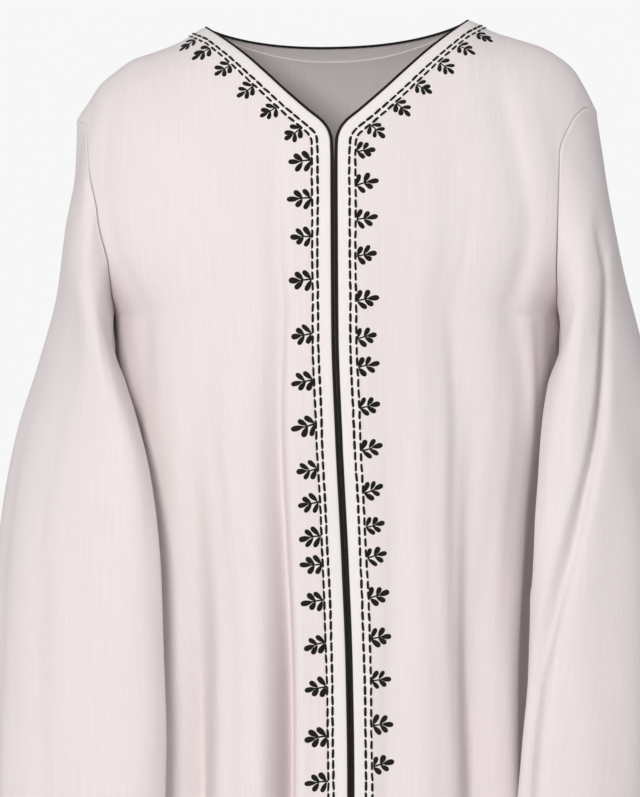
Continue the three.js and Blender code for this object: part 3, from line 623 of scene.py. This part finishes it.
def tube(name, centre, across, normal, radius, sides=12):
    """A cord of round section along a line, with flat ends."""
    t = np.arange(sides) * 2 * np.pi / sides
    radius = np.asarray(radius)
    ring = centre[:, None] + radius[:, None, None] * (np.cos(t)[None, :, None] * across[:, None] + np.sin(t)[None, :, None] * normal[:, None])
    m = len(centre)
    idx = np.arange(m * sides).reshape(m, sides)
    nxt = np.roll(idx, -1, 1)
    faces = np.stack([idx[:-1], idx[1:], nxt[1:], nxt[:-1]], -1).reshape(-1, 4)
    pts = ring.reshape(-1, 3)
    ends = len(pts)
    pts = np.concatenate([pts, centre[:1], centre[-1:]])
    cap = [(ends, idx[0][k], idx[0][(k + 1) % sides], ends) for k in range(sides)]
    s = np.concatenate([[0], np.cumsum(np.linalg.norm(np.diff(centre, axis=0), axis=1))]) * 0.001
    uv = np.stack([np.tile(t * PIPING / 2 * 0.001, m), np.repeat(s, sides)], -1)
    uv = np.concatenate([uv, [[0, 0], [0, s[-1]]]])
    me = bpy.data.meshes.new(name)
    tris = [(ends, int(idx[0][k]), int(idx[0][(k + 1) % sides])) for k in range(sides)]
    tris += [(ends + 1, int(idx[-1][(k + 1) % sides]), int(idx[-1][k])) for k in range(sides)]
    quads = [tuple(int(v) for v in q) for q in faces]
    me.from_pydata([tuple(v) for v in pts * 0.001], [], quads + tris)
    layer = me.uv_layers.new(name="cloth")
    loops = np.empty(len(me.loops), np.int32)
    me.loops.foreach_get("vertex_index", loops)
    layer.data.foreach_set("uv", uv[loops].astype(np.float32).ravel())
    me.polygons.foreach_set("use_smooth", np.ones(len(me.polygons), bool))
    me.update()
    import bmesh

    bm = bmesh.new()
    bm.from_mesh(me)
    bmesh.ops.recalc_face_normals(bm, faces=bm.faces)
    bm.to_mesh(me)
    bm.free()
    obj = bpy.data.objects.new(name, me)
    bpy.context.collection.objects.link(obj)
    return obj


def make_piping(side):
    g = -1 if side == "right" else 1
    rows = np.concatenate([np.arange(0, 10.6, 0.1) ** 2, np.arange(115, HEM + 1, 5.0)])
    rows = np.append(rows[rows < HEM], HEM)
    e = body(edge_angle(g, rows), rows)
    a = angles_out(side, rows, [PIPING / 2 + 0.05, 6.0])
    q = body(a[:, 1], rows)
    along = unit(np.gradient(e, axis=0))
    n = unit(np.cross(along, q - e))
    if n[len(n) // 2, 1] > 0:
        n = -n
    n[0, 1] = 0
    n = unit(n)
    across = unit(np.cross(n, along))
    centre = e - n * 0.25
    centre[0, 1] = min(centre[0, 1], -SEAM)
    thick = (PIPING / 2 - 0.02) * (0.76 + 0.24 * np.clip((rows - 30) / 90, 0, 1))
    return tube(f"piping_cord_{side}", centre, across, n, thick)


def make_piping_back():
    p, n = PARTS["band_back"]
    edge, normal = p[:, 0], n[:, 0]
    across = unit(p[:, 0] - p[:, 2])
    across[0, 1] = across[-1, 1] = 0
    across = unit(across)
    centre = edge + across * (PIPING / 2 + 0.03) - normal * 0.25
    return tube("piping_cord_neck", centre, across, normal, np.full(len(centre), (PIPING / 2 - 0.02) * 0.76))


# ---------------------------------------------------------------- embroidery
# Distance of the two stitch rows from the cord's middle, by drop.
STITCH_ROWS = dict(
    drop=[0, 60, 150, 400, 650, 1400],
    right_inner=[12.2, 12.2, 12.4, 12.6, 13.0, 12.6],
    right_outer=[16.2, 16.3, 16.9, 17.1, 17.4, 17.1],
    left_inner=[12.2, 12.1, 11.4, 11.6, 11.0, 11.4],
    left_outer=[16.2, 16.2, 16.3, 16.5, 16.2, 16.6],
)
STITCH_LONG = 8.75
STITCH_PERIOD = 9.0
STITCH_HALF = 1.16
# Drop of each sprig on the front edges down to the thigh; below that the hand goes on at about this spacing.
SPRIGS = {
    "right": [6, 19, 34, 53, 72, 90, 118, 150, 183, 219, 265, 304, 341, 379, 407, 436, 460, 490, 526, 563, 605, 643],
    "left": [8, 22, 36, 54, 69.5, 88, 111, 140, 169, 200, 238, 270, 294, 328, 364, 400, 429, 455, 489, 523, 558, 596, 631],
}
SPRIG_SPACING = (30.0, 43.0)


def edge_lines(side, rows):
    grid = np.arange(6.0, 21.0, 1.0)
    table = angles_out(side, rows, list(grid))

    def at(distance):
        d = np.broadcast_to(distance, rows.shape)
        angle = np.array([np.interp(d[i], grid, table[i]) for i in range(len(rows))])
        return body(angle, rows), body(angle + (0.3 if side == "left" else -0.3), rows)

    return at


def frame_line(p, q):
    """Along, across (away from the edge) and normal at each point."""
    t = unit(np.gradient(p, axis=0))
    n = unit(np.cross(t, q - p))
    if n[len(n) // 2, 1] > 0:
        n = -n
    a = unit(np.cross(n, t))
    if (a * (q - p)).sum() < 0:
        a = -a
    return t, a, n


def resample(arrays, s_new, s):
    return [np.stack([np.interp(s_new, s, a[:, i]) for i in range(3)], -1) for a in arrays]


class Pieces:
    """Gathers small quad patches into one mesh."""

    def __init__(self):
        self.points, self.uvs, self.faces, self.count = [], [], [], 0

    def add(self, grid, uv, wrap=False):
        r, c = grid.shape[:2]
        idx = np.arange(r * c).reshape(r, c) + self.count
        nxt = np.roll(idx, -1, 1) if wrap else idx[:, 1:]
        cur = idx if wrap else idx[:, :-1]
        self.faces.append(np.stack([cur[:-1], nxt[:-1], nxt[1:], cur[1:]], -1).reshape(-1, 4))
        self.points.append(grid.reshape(-1, 3))
        self.uvs.append(uv.reshape(-1, 2))
        self.count += r * c

    def mesh(self, name):
        return mesh_object(name, np.concatenate(self.points), np.concatenate(self.faces), np.concatenate(self.uvs))


def stitch(out, centre, across, normal, wide):
    """One stitch: a bar of thread with tapered ends that go down into the cloth."""
    m, sides = len(centre), 10
    u = np.linspace(-1, 1, m)
    swell = np.clip(1 - np.abs(u) ** 3.4, 0, 1) ** 0.6
    half_w = wide * (0.34 + 0.66 * swell)
    high = 0.72 * wide * (0.2 + 0.8 * swell)
    lift = 0.62 * swell - 0.42
    t = np.arange(sides) * 2 * np.pi / sides
    if True:
        ring = (
            (centre + normal * lift[:, None])[:, None]
            + across[:, None] * (half_w[:, None] * np.cos(t))[..., None]
            + normal[:, None] * (high[:, None] * np.sin(t))[..., None]
        )
    s = np.concatenate([[0], np.cumsum(np.linalg.norm(np.diff(centre, axis=0), axis=1))])
    uv = np.stack(np.broadcast_arrays(t[None] * wide, s[:, None]), -1) * 0.001
    out.add(ring[:, ::-1], uv[:, ::-1], wrap=True)


def stitch_rows():
    out = Pieces()
    rng = np.random.default_rng(21)
    rows = np.concatenate([np.arange(0, 10.6, 0.16) ** 2, np.arange(114, HEM - 1, 3.5)])
    rows = rows[rows < HEM - 3]
    lines = []
    for side in ("right", "left"):
        at = edge_lines(side, rows)
        for which, height in (("inner", 0.78), ("outer", 0.3)):
            distance = column(STITCH_ROWS["drop"], STITCH_ROWS[f"{side}_{which}"])(rows)
            wander = 0.18 * np.sin(rows / 31.0 + (1 if which == "inner" else 4)) + 0.14 * np.sin(rows / 13.0 + (2 if side == "left" else 5))
            p, q = at(distance + wander)
            lines.append((p, q, height))
    # round the back of the neck
    p, n = PARTS["band_back"]
    share = np.linspace(0, 1, p.shape[1])
    grid_d = np.array([PIPING / 2 + 0.05 + d for d, _ in BAND_PROFILE])
    for d, height in ((11.9, 0.78), (16.7, 0.3)):
        line = np.stack([[np.interp(d, grid_d, p[i, :, k]) for k in range(3)] for i in range(1, p.shape[0] - 1)])
        beyond = np.stack([[np.interp(d + 0.8, grid_d, p[i, :, k]) for k in range(3)] for i in range(1, p.shape[0] - 1)])
        lines.append((line, beyond, height))
    for p, q, height in lines:
        t = unit(np.gradient(p, axis=0))
        n = unit(np.cross(t, q - p))
        if n[len(n) // 2, 1] > 0 and p[len(p) // 2, 1] < 0:
            n = -n
        if p[len(p) // 2, 1] > 0 and n[len(n) // 2, 2] < 0:
            n = -n
        a = unit(np.cross(n, t))
        s = np.concatenate([[0], np.cumsum(np.linalg.norm(np.diff(p, axis=0), axis=1))])
        count = int(round(s[-1] / STITCH_PERIOD))
        period = s[-1] / count
        for k in range(count):
            mid = (k + 0.5) * period + rng.uniform(-0.16, 0.16)
            long = STITCH_LONG * rng.uniform(0.95, 1.02)
            small = 0.86 + 0.14 * min(1, max(0, (s[-1] - 110 if s[-1] < 400 else mid) / 150))
            w = STITCH_HALF * rng.uniform(0.9, 1.06) * small
            lean = rng.uniform(-0.3, 0.3)
            u = np.linspace(-0.5, 0.5, 11)
            c, aa, nn = resample([p, a, n], mid + u * long, s)
            aa, nn = unit(aa), unit(nn)
            c = c + nn * height + aa * (lean * 2 * u)[:, None]
            stitch(out, c, aa, nn, w)
    return out.mesh("stitch_rows")


def leaf(outline_out, place, base, tip, wide, high):
    """A worked leaf from base to tip (mm on the flat of the sprig), widest near its round tip."""
    m, k = 15, 9
    base, tip = np.asarray(base, float), np.asarray(tip, float)
    along = tip - base
    long = np.linalg.norm(along)
    along /= long
    side = np.array([-along[1], along[0]])
    s = (1 - np.cos(np.linspace(0, np.pi, m))) / 2
    peak = 0.6
    w = np.where(s < peak, 0.26 + 0.74 * np.sin(np.pi / 2 * s / peak) ** 1.1, np.clip(1 - ((s - peak) / (1 - peak)) ** 3.2, 0, 1) ** 0.55)
    w = wide / 2 * np.maximum(w, 0.02)
    v = np.linspace(-1, 1, k)
    flat = base + along * (s[:, None] * long)[..., None] + side * (w[:, None] * v[None])[..., None]
    ridge = np.sqrt(np.clip(1 - v**2, 0, 1))[None] * (0.35 + 0.65 * (w / (wide / 2)))[:, None]
    h = -0.18 + high * ridge
    h[0] = h[-1] = -0.2
    uv = np.stack([np.broadcast_to(v[None] * wide / 2, h.shape), np.broadcast_to(s[:, None] * long, h.shape)], -1) * 0.001
    outline_out.add(place(flat, h), uv)


def stem(out, place, line, wide):
    line = np.asarray(line, float)
    t = unit(np.gradient(line, axis=0))
    side = np.stack([-t[:, 1], t[:, 0]], -1)
    v = np.linspace(-1, 1, 5)
    taper = np.linspace(1.0, 0.75, len(line))[:, None]
    flat = line[:, None] + side[:, None] * (v[None] * wide / 2 * taper)[..., None]
    h = -0.12 + 0.62 * np.sqrt(np.clip(1 - v**2, 0, 1))[None] * np.ones((len(line), 1))
    s = np.linspace(0, 12, len(line))[:, None]
    uv = np.stack(np.broadcast_arrays(v[None] * wide / 2, s), -1) * 0.001
    out.add(place(flat, h), uv)


def sprigs(panels):
    out = Pieces()
    rng = np.random.default_rng(5)
    for side in ("right", "left"):
        p, n = panels[side]
        r, c = p.shape[:2]
        idx = np.arange(r * c).reshape(r, c)
        near = idx[:, : c // 2]
        quads = np.stack([near[:-1, :-1], near[:-1, 1:], near[1:, 1:], near[1:, :-1]], -1).reshape(-1, 4)
        tree = BVHTree.FromPolygons([tuple(v) for v in p.reshape(-1, 3)], [tuple(int(i) for i in f) for f in quads])
        drops = list(SPRIGS[side])
        while drops[-1] < HEM - 55:
            drops.append(drops[-1] + rng.uniform(*SPRIG_SPACING))
        rows = np.array(sorted(set(np.round(np.concatenate([np.array(drops) + e for e in (-1.0, 0.0, 1.0)]), 3))))
        rows = rows[rows >= 0]
        at = edge_lines(side, rows)
        distance = column(STITCH_ROWS["drop"], STITCH_ROWS[f"{side}_outer"])(rows)
        base, beyond = at(distance + 0.2)
        t, a, nn = frame_line(base, beyond)
        for drop in drops:
            i = int(np.argmin(np.abs(rows - drop)))
            # on the slant of the neck the right side's sprigs lean back up towards the level
            slant = max(0.0, min(1.0, (118 - drop) / 20))
            lean = (13 if side == "right" else -6) * slant
            turn = np.radians(rng.uniform(-6, 6) + (8 if side == "right" else -11) - lean)
            scale = rng.uniform(0.98, 1.12) * (0.93 if side == "left" else 1.0) * (1 - 0.1 * slant)
            o, A, T, N = base[i], a[i], t[i], nn[i]
            A2 = unit(A * math.cos(turn) + T * math.sin(turn))
            T2 = unit(np.cross(N, A2))

            def place(flat, h):
                q = o + A2 * flat[..., :1] * scale + T2 * flat[..., 1:] * scale
                res = np.empty(q.shape)
                for j in np.ndindex(q.shape[:-1]):
                    start = q[j] + N * 14
                    hit, normal, _, _ = tree.ray_cast(Vector(start), Vector(-N), 40)
                    if hit is None:
                        hit, normal, _, _ = tree.find_nearest(Vector(q[j]))
                    normal = np.array(normal)
                    if normal @ N < 0:
                        normal = -normal
                    res[j] = np.array(hit) + normal * h[j]
                return res

            jig = lambda s: rng.uniform(-s, s)
            bend = rng.uniform(-0.5, 0.5)
            u = np.linspace(-0.6, 12.0, 12)
            stem(out, place, np.stack([u, bend * np.sin(np.pi * (u + 0.6) / 12.6)], -1), 1.7)
            for sgn in (-1, 1):
                leaf(out, place, (1.3 + jig(0.4), sgn * 0.7), (6.6 + jig(0.9), sgn * (7.9 + jig(0.8))), 4.7 + jig(0.5), 0.95)
                leaf(out, place, (7.2 + jig(0.4), sgn * 0.6), (13.2 + jig(0.9), sgn * (6.6 + jig(0.8))), 4.7 + jig(0.5), 0.95)
            leaf(out, place, (9.6, jig(0.2)), (18.8 + jig(0.8), jig(1.4)), 4.9 + jig(0.4), 1.0)
    return out.mesh("leaf_sprigs")


# ---------------------------------------------------------------- materials
def linear(r, g, b):
    def one(v):
        v /= 255
        return v / 12.92 if v <= 0.04045 else ((v + 0.055) / 1.055) ** 2.4

    return (one(r), one(g), one(b), 1.0)


class Nodes:
    def __init__(self, name):
        self.mat = bpy.data.materials.new(name)
        self.mat.use_nodes = True
        self.nt = self.mat.node_tree
        self.nt.nodes.clear()
        self.out = self.nt.nodes.new("ShaderNodeOutputMaterial")
        self.bsdf = self.nt.nodes.new("ShaderNodeBsdfPrincipled")
        self.nt.links.new(self.bsdf.outputs[0], self.out.inputs["Surface"])

    def add(self, kind, **props):
        n = self.nt.nodes.new(kind)
        for k, v in props.items():
            setattr(n, k, v)
        return n

    def link(self, a, b):
        self.nt.links.new(a, b)

    def uv(self):
        n = self.add("ShaderNodeUVMap", uv_map="cloth")
        return n.outputs["UV"]

    def scaled(self, vector, scale, offset=(0, 0, 0)):
        n = self.add("ShaderNodeVectorMath", operation="MULTIPLY_ADD")
        self.link(vector, n.inputs[0])
        n.inputs[1].default_value = scale
        n.inputs[2].default_value = offset
        return n.outputs["Vector"]

    def noise(self, vector, scale, detail=2.0, rough=0.5):
        n = self.add("ShaderNodeTexNoise")
        self.link(vector, n.inputs["Vector"])
        n.inputs["Scale"].default_value = scale
        n.inputs["Detail"].default_value = detail
        n.inputs["Roughness"].default_value = rough
        return n.outputs["Fac"]

    def wave(self, vector, scale, direction="X", distortion=0.0, detail_scale=1.0):
        n = self.add("ShaderNodeTexWave", wave_type="BANDS", bands_direction=direction, wave_profile="SIN")
        self.link(vector, n.inputs["Vector"])
        n.inputs["Scale"].default_value = scale
        n.inputs["Distortion"].default_value = distortion
        n.inputs["Detail Scale"].default_value = detail_scale
        return n.outputs["Fac"]

    def math(self, operation, a, b):
        n = self.add("ShaderNodeMath", operation=operation)
        for i, v in enumerate((a, b)):
            if isinstance(v, (int, float)):
                n.inputs[i].default_value = v
            else:
                self.link(v, n.inputs[i])
        return n.outputs[0]

    def between(self, value, low, high, to_low=0.0, to_high=1.0):
        n = self.add("ShaderNodeMapRange")
        self.link(value, n.inputs["Value"])
        n.inputs["From Min"].default_value = low
        n.inputs["From Max"].default_value = high
        n.inputs["To Min"].default_value = to_low
        n.inputs["To Max"].default_value = to_high
        return n.outputs["Result"]

    def mix(self, fac, a, b, blend="MIX"):
        n = self.add("ShaderNodeMix", data_type="RGBA", blend_type=blend)
        if isinstance(fac, (int, float)):
            n.inputs[0].default_value = fac
        else:
            self.link(fac, n.inputs[0])
        for i, v in ((6, a), (7, b)):
            if isinstance(v, tuple):
                n.inputs[i].default_value = v
            else:
                self.link(v, n.inputs[i])
        return n.outputs[2]

    def bump(self, height, distance, strength=1.0, under=None):
        n = self.add("ShaderNodeBump")
        self.link(height, n.inputs["Height"])
        n.inputs["Distance"].default_value = distance
        n.inputs["Strength"].default_value = strength
        if under is not None:
            self.link(under, n.inputs["Normal"])
        return n.outputs["Normal"]


def crepe():
    m = Nodes("crepe_cloth")
    uv = m.uv()
    place = m.add("ShaderNodeTexCoord").outputs["Object"]
    cloud = m.noise(place, 4.2, 3.0, 0.55)
    cloud2 = m.noise(m.scaled(place, (9, 9, 2.2), (3, 1, 7)), 1.0, 2.0, 0.5)
    slub = m.noise(m.scaled(uv, (620, 16, 0)), 1.0, 3.0, 0.6)
    slub_cross = m.noise(m.scaled(uv, (26, 700, 0), (5, 9, 0)), 1.0, 2.0, 0.55)
    pebble = m.noise(m.scaled(uv, (1500, 1150, 0)), 1.0, 3.0, 0.62)
    warp = m.wave(m.scaled(uv, (1, 1, 0)), 390, "X", 2.2, 260)
    weft = m.wave(m.scaled(uv, (1, 1, 0)), 360, "Y", 2.2, 260)
    weave = m.math("MULTIPLY", warp, weft)
    tone = m.mix(m.between(cloud, 0.3, 0.7), linear(*CREPE_BLUSH), linear(*CREPE_CREAM))
    tone = m.mix(m.between(cloud2, 0.35, 0.7, 0.0, 0.5), tone, linear(*CREPE_DEEP))
    tone = m.mix(m.between(slub, 0.36, 0.68, 0.0, 0.16), tone, linear(*CREPE_SHADE))
    tone = m.mix(m.between(slub_cross, 0.5, 0.78, 0.0, 0.07), tone, linear(*CREPE_SHADE))
    tone = m.mix(m.between(pebble, 0.38, 0.2, 0.0, 0.14), tone, linear(*CREPE_SHADE))
    m.link(tone, m.bsdf.inputs["Base Color"])
    m.link(m.between(pebble, 0.3, 0.7, 0.86, 0.68), m.bsdf.inputs["Roughness"])
    m.bsdf.inputs["Specular IOR Level"].default_value = 0.22
    m.bsdf.inputs["Sheen Weight"].default_value = 0.16
    m.bsdf.inputs["Sheen Roughness"].default_value = 0.45
    m.bsdf.inputs["Sheen Tint"].default_value = linear(255, 246, 242)
    n = m.bump(weave, 0.00010, 0.35)
    n = m.bump(pebble, 0.00022, 0.55, n)
    n = m.bump(slub, 0.00030, 0.45, n)
    m.link(n, m.bsdf.inputs["Normal"])
    return m.mat


def band_cloth():
    m = Nodes("band_cloth")
    uv = m.uv()
    place = m.add("ShaderNodeTexCoord").outputs["Object"]
    cloud = m.noise(m.scaled(place, (14, 14, 5)), 1.0, 3.0, 0.5)
    slub = m.noise(m.scaled(uv, (900, 30, 0)), 1.0, 3.0, 0.6)
    warp = m.wave(m.scaled(uv, (1, 1, 0)), 330, "X", 0.8, 200)
    weft = m.wave(m.scaled(uv, (1, 1, 0)), 330, "Y", 0.8, 200)
    weave = m.math("MULTIPLY", warp, weft)
    tone = m.mix(m.between(cloud, 0.3, 0.7), linear(*BAND_LIGHT), linear(*BAND_WARM))
    tone = m.mix(m.between(slub, 0.4, 0.7, 0.0, 0.14), tone, linear(*CREPE_SHADE))
    tone = m.mix(m.between(weave, 0.6, 0.0, 0.0, 0.07), tone, linear(*CREPE_SHADE))
    m.link(tone, m.bsdf.inputs["Base Color"])
    m.link(m.between(slub, 0.3, 0.7, 0.7, 0.56), m.bsdf.inputs["Roughness"])
    m.bsdf.inputs["Specular IOR Level"].default_value = 0.28
    m.bsdf.inputs["Sheen Weight"].default_value = 0.12
    m.bsdf.inputs["Sheen Roughness"].default_value = 0.4
    n = m.bump(weave, 0.00012, 0.5)
    n = m.bump(slub, 0.00016, 0.35, n)
    m.link(n, m.bsdf.inputs["Normal"])
    return m.mat


def thread(name, twist, across):
    m = Nodes(name)
    uv = m.uv()
    strands = m.wave(m.scaled(uv, (across, twist, 0)), 1.0, "DIAGONAL", 0.4, 1.0)
    fuzz = m.noise(m.scaled(uv, (2600, 900, 0)), 1.0, 2.0, 0.6)
    tone = m.mix(m.between(strands, 0.2, 0.9), linear(*THREAD_DARK), linear(*THREAD_LIGHT))
    tone = m.mix(m.between(fuzz, 0.45, 0.75, 0, 0.5), tone, linear(*THREAD_DARK))
    m.link(tone, m.bsdf.inputs["Base Color"])
    m.link(m.between(fuzz, 0.3, 0.7, 0.72, 0.5), m.bsdf.inputs["Roughness"])
    m.bsdf.inputs["Specular IOR Level"].default_value = 0.2
    m.bsdf.inputs["Sheen Weight"].default_value = 0.05
    m.bsdf.inputs["Sheen Roughness"].default_value = 0.4
    n = m.bump(strands, 0.00022, 0.7)
    n = m.bump(fuzz, 0.00008, 0.4, n)
    m.link(n, m.bsdf.inputs["Normal"])
    return m.mat


CREPE_BLUSH = (222, 211.5, 213.5)
CREPE_CREAM = (222, 214, 212)
CREPE_DEEP = (220, 207, 208.5)
CREPE_SHADE = (191, 180, 178)
BAND_LIGHT = (227, 221.5, 220.5)
BAND_WARM = (227, 219.5, 218.5)
THREAD_DARK = (11, 10, 9)
THREAD_LIGHT = (27, 25, 23)

crepe_mat, band_mat = crepe(), band_cloth()
stitch_mat = thread("stitch_thread", 900.0, 700.0)
leaf_mat = thread("leaf_thread", 1500.0, 900.0)
cord_mat = thread("cord_thread", 620.0, 620.0)

# ---------------------------------------------------------------- the garment
made = {}
panels = {}
for side in ("right", "left"):
    obj, p, n = make_front(side)
    panels[side] = (p, n)
    made[f"front_{side}"] = (obj, crepe_mat, "crepe")
obj, back_points, _ = make_back()
made["back"] = (obj, crepe_mat, "crepe")
for side in ("right", "left"):
    made[f"sleeve_{side}"] = (make_sleeve(side), crepe_mat, "crepe")
for side in ("right", "left"):
    made[f"band_{side}"] = (make_band(side), band_mat, "band")
made["band_back_neck"] = (make_band_back(), band_mat, "band")
for side in ("right", "left"):
    made[f"piping_{side}"] = (make_piping(side), cord_mat, "thread")
made["piping_back_neck"] = (make_piping_back(), cord_mat, "thread")
for node, (obj, mat, slot) in made.items():
    material_slot(obj, mat)
    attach(obj, "root")
    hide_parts(node)
for obj, mat in ((stitch_rows(), stitch_mat), (sprigs(panels), leaf_mat)):
    material_slot(obj, mat)
    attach(obj, "root")

# ---------------------------------------------------------------- floor, light, camera
floor_mat = Nodes("floor_paint")
grain = floor_mat.noise(floor_mat.add("ShaderNodeTexCoord").outputs["Object"], 6.0, 4.0, 0.5)
floor_mat.link(floor_mat.mix(grain, linear(236, 234, 232), linear(243, 241, 239)), floor_mat.bsdf.inputs["Base Color"])
floor_mat.bsdf.inputs["Roughness"].default_value = 0.9
bpy.ops.mesh.primitive_circle_add(vertices=96, radius=2.8, fill_type="NGON", location=(0, 0, -1.425))
floor = bpy.context.object
floor.name = "floor"
floor.data.materials.append(floor_mat.mat)

world = bpy.data.worlds.new("studio")
bpy.context.scene.world = world
world.use_nodes = True
wn = world.node_tree
wn.nodes.clear()
w_out = wn.nodes.new("ShaderNodeOutputWorld")
w_bg = wn.nodes.new("ShaderNodeBackground")
w_tc = wn.nodes.new("ShaderNodeTexCoord")
w_dot = wn.nodes.new("ShaderNodeVectorMath")
w_dot.operation = "DOT_PRODUCT"
w_dir = Vector((1.0, 0.0, 0.12)).normalized()
w_dot.inputs[1].default_value = w_dir
w_ramp = wn.nodes.new("ShaderNodeMapRange")
w_ramp.interpolation_type = "SMOOTHSTEP"
w_ramp.inputs["From Min"].default_value = 0.35
w_ramp.inputs["From Max"].default_value = 1.0
w_ramp.inputs["To Min"].default_value = 0.0
w_ramp.inputs["To Max"].default_value = 1.0
w_mix = wn.nodes.new("ShaderNodeMix")
w_mix.data_type = "RGBA"
w_mix.inputs[6].default_value = (0.270, 0.282, 0.286, 1)
w_mix.inputs[7].default_value = (0.68, 0.70, 0.71, 1)
wn.links.new(w_tc.outputs["Generated"], w_dot.inputs[0])
w_side = wn.nodes.new("ShaderNodeMath")
w_side.operation = "ABSOLUTE"
wn.links.new(w_dot.outputs["Value"], w_side.inputs[0])
wn.links.new(w_side.outputs[0], w_ramp.inputs["Value"])
wn.links.new(w_ramp.outputs["Result"], w_mix.inputs[0])
wn.links.new(w_mix.outputs[2], w_bg.inputs["Color"])
w_bg.inputs["Strength"].default_value = 1.0
# the sweep behind the garment is one pale tone, and lights it less than it shows
w_pale = wn.nodes.new("ShaderNodeBackground")
w_pale.inputs["Color"].default_value = (0.93, 0.93, 0.93, 1)
w_seen = wn.nodes.new("ShaderNodeLightPath")
w_join = wn.nodes.new("ShaderNodeMixShader")
wn.links.new(w_seen.outputs["Is Camera Ray"], w_join.inputs[0])
wn.links.new(w_bg.outputs[0], w_join.inputs[1])
wn.links.new(w_pale.outputs[0], w_join.inputs[2])
wn.links.new(w_join.outputs[0], w_out.inputs["Surface"])


def area_light(name, place, aim, size, watts, colour):
    light = bpy.data.lights.new(name, "AREA")
    light.shape = "DISK"
    light.size = size
    light.energy = watts
    light.color = colour
    obj = bpy.data.objects.new(name, light)
    bpy.context.collection.objects.link(obj)
    obj.location = place
    obj.rotation_mode = "QUATERNION"
    obj.rotation_quaternion = (Vector(aim) - Vector(place)).to_track_quat("-Z", "Y")
    return obj


area_light("key", (-1.5, -4.75, 1.0), (0, 0, -0.4), 1.7, 184, (1.0, 0.983, 0.978))
area_light("fill", (2.7, -3.6, 0.4), (0.1, 0, -0.4), 2.2, 13.5, (1.0, 0.985, 0.98))
area_light("top", (0.2, -0.8, 2.6), (0, 0, -0.5), 1.4, 10, (1.0, 0.99, 0.985))

CAMERA_BACK = 10.0
FRAME_HIGH = 0.6775
cam = bpy.data.cameras.new("camera")
cam.sensor_width = 36.0
cam.lens = 36.0 * CAMERA_BACK / FRAME_HIGH
cam.clip_start, cam.clip_end = 0.1, 50
camera = bpy.data.objects.new("camera", cam)
bpy.context.collection.objects.link(camera)
camera.location = (-0.01445, -0.05 - CAMERA_BACK, -0.32)
camera.rotation_euler = (math.pi / 2, 0, 0)
bpy.context.scene.camera = camera
bpy.context.scene.view_settings.view_transform = "Standard"
bpy.context.scene.view_settings.look = "None"
bpy.context.scene.view_settings.exposure = 0.0
bpy.context.scene.view_settings.gamma = 1.0

bpy.context.view_layer.update()
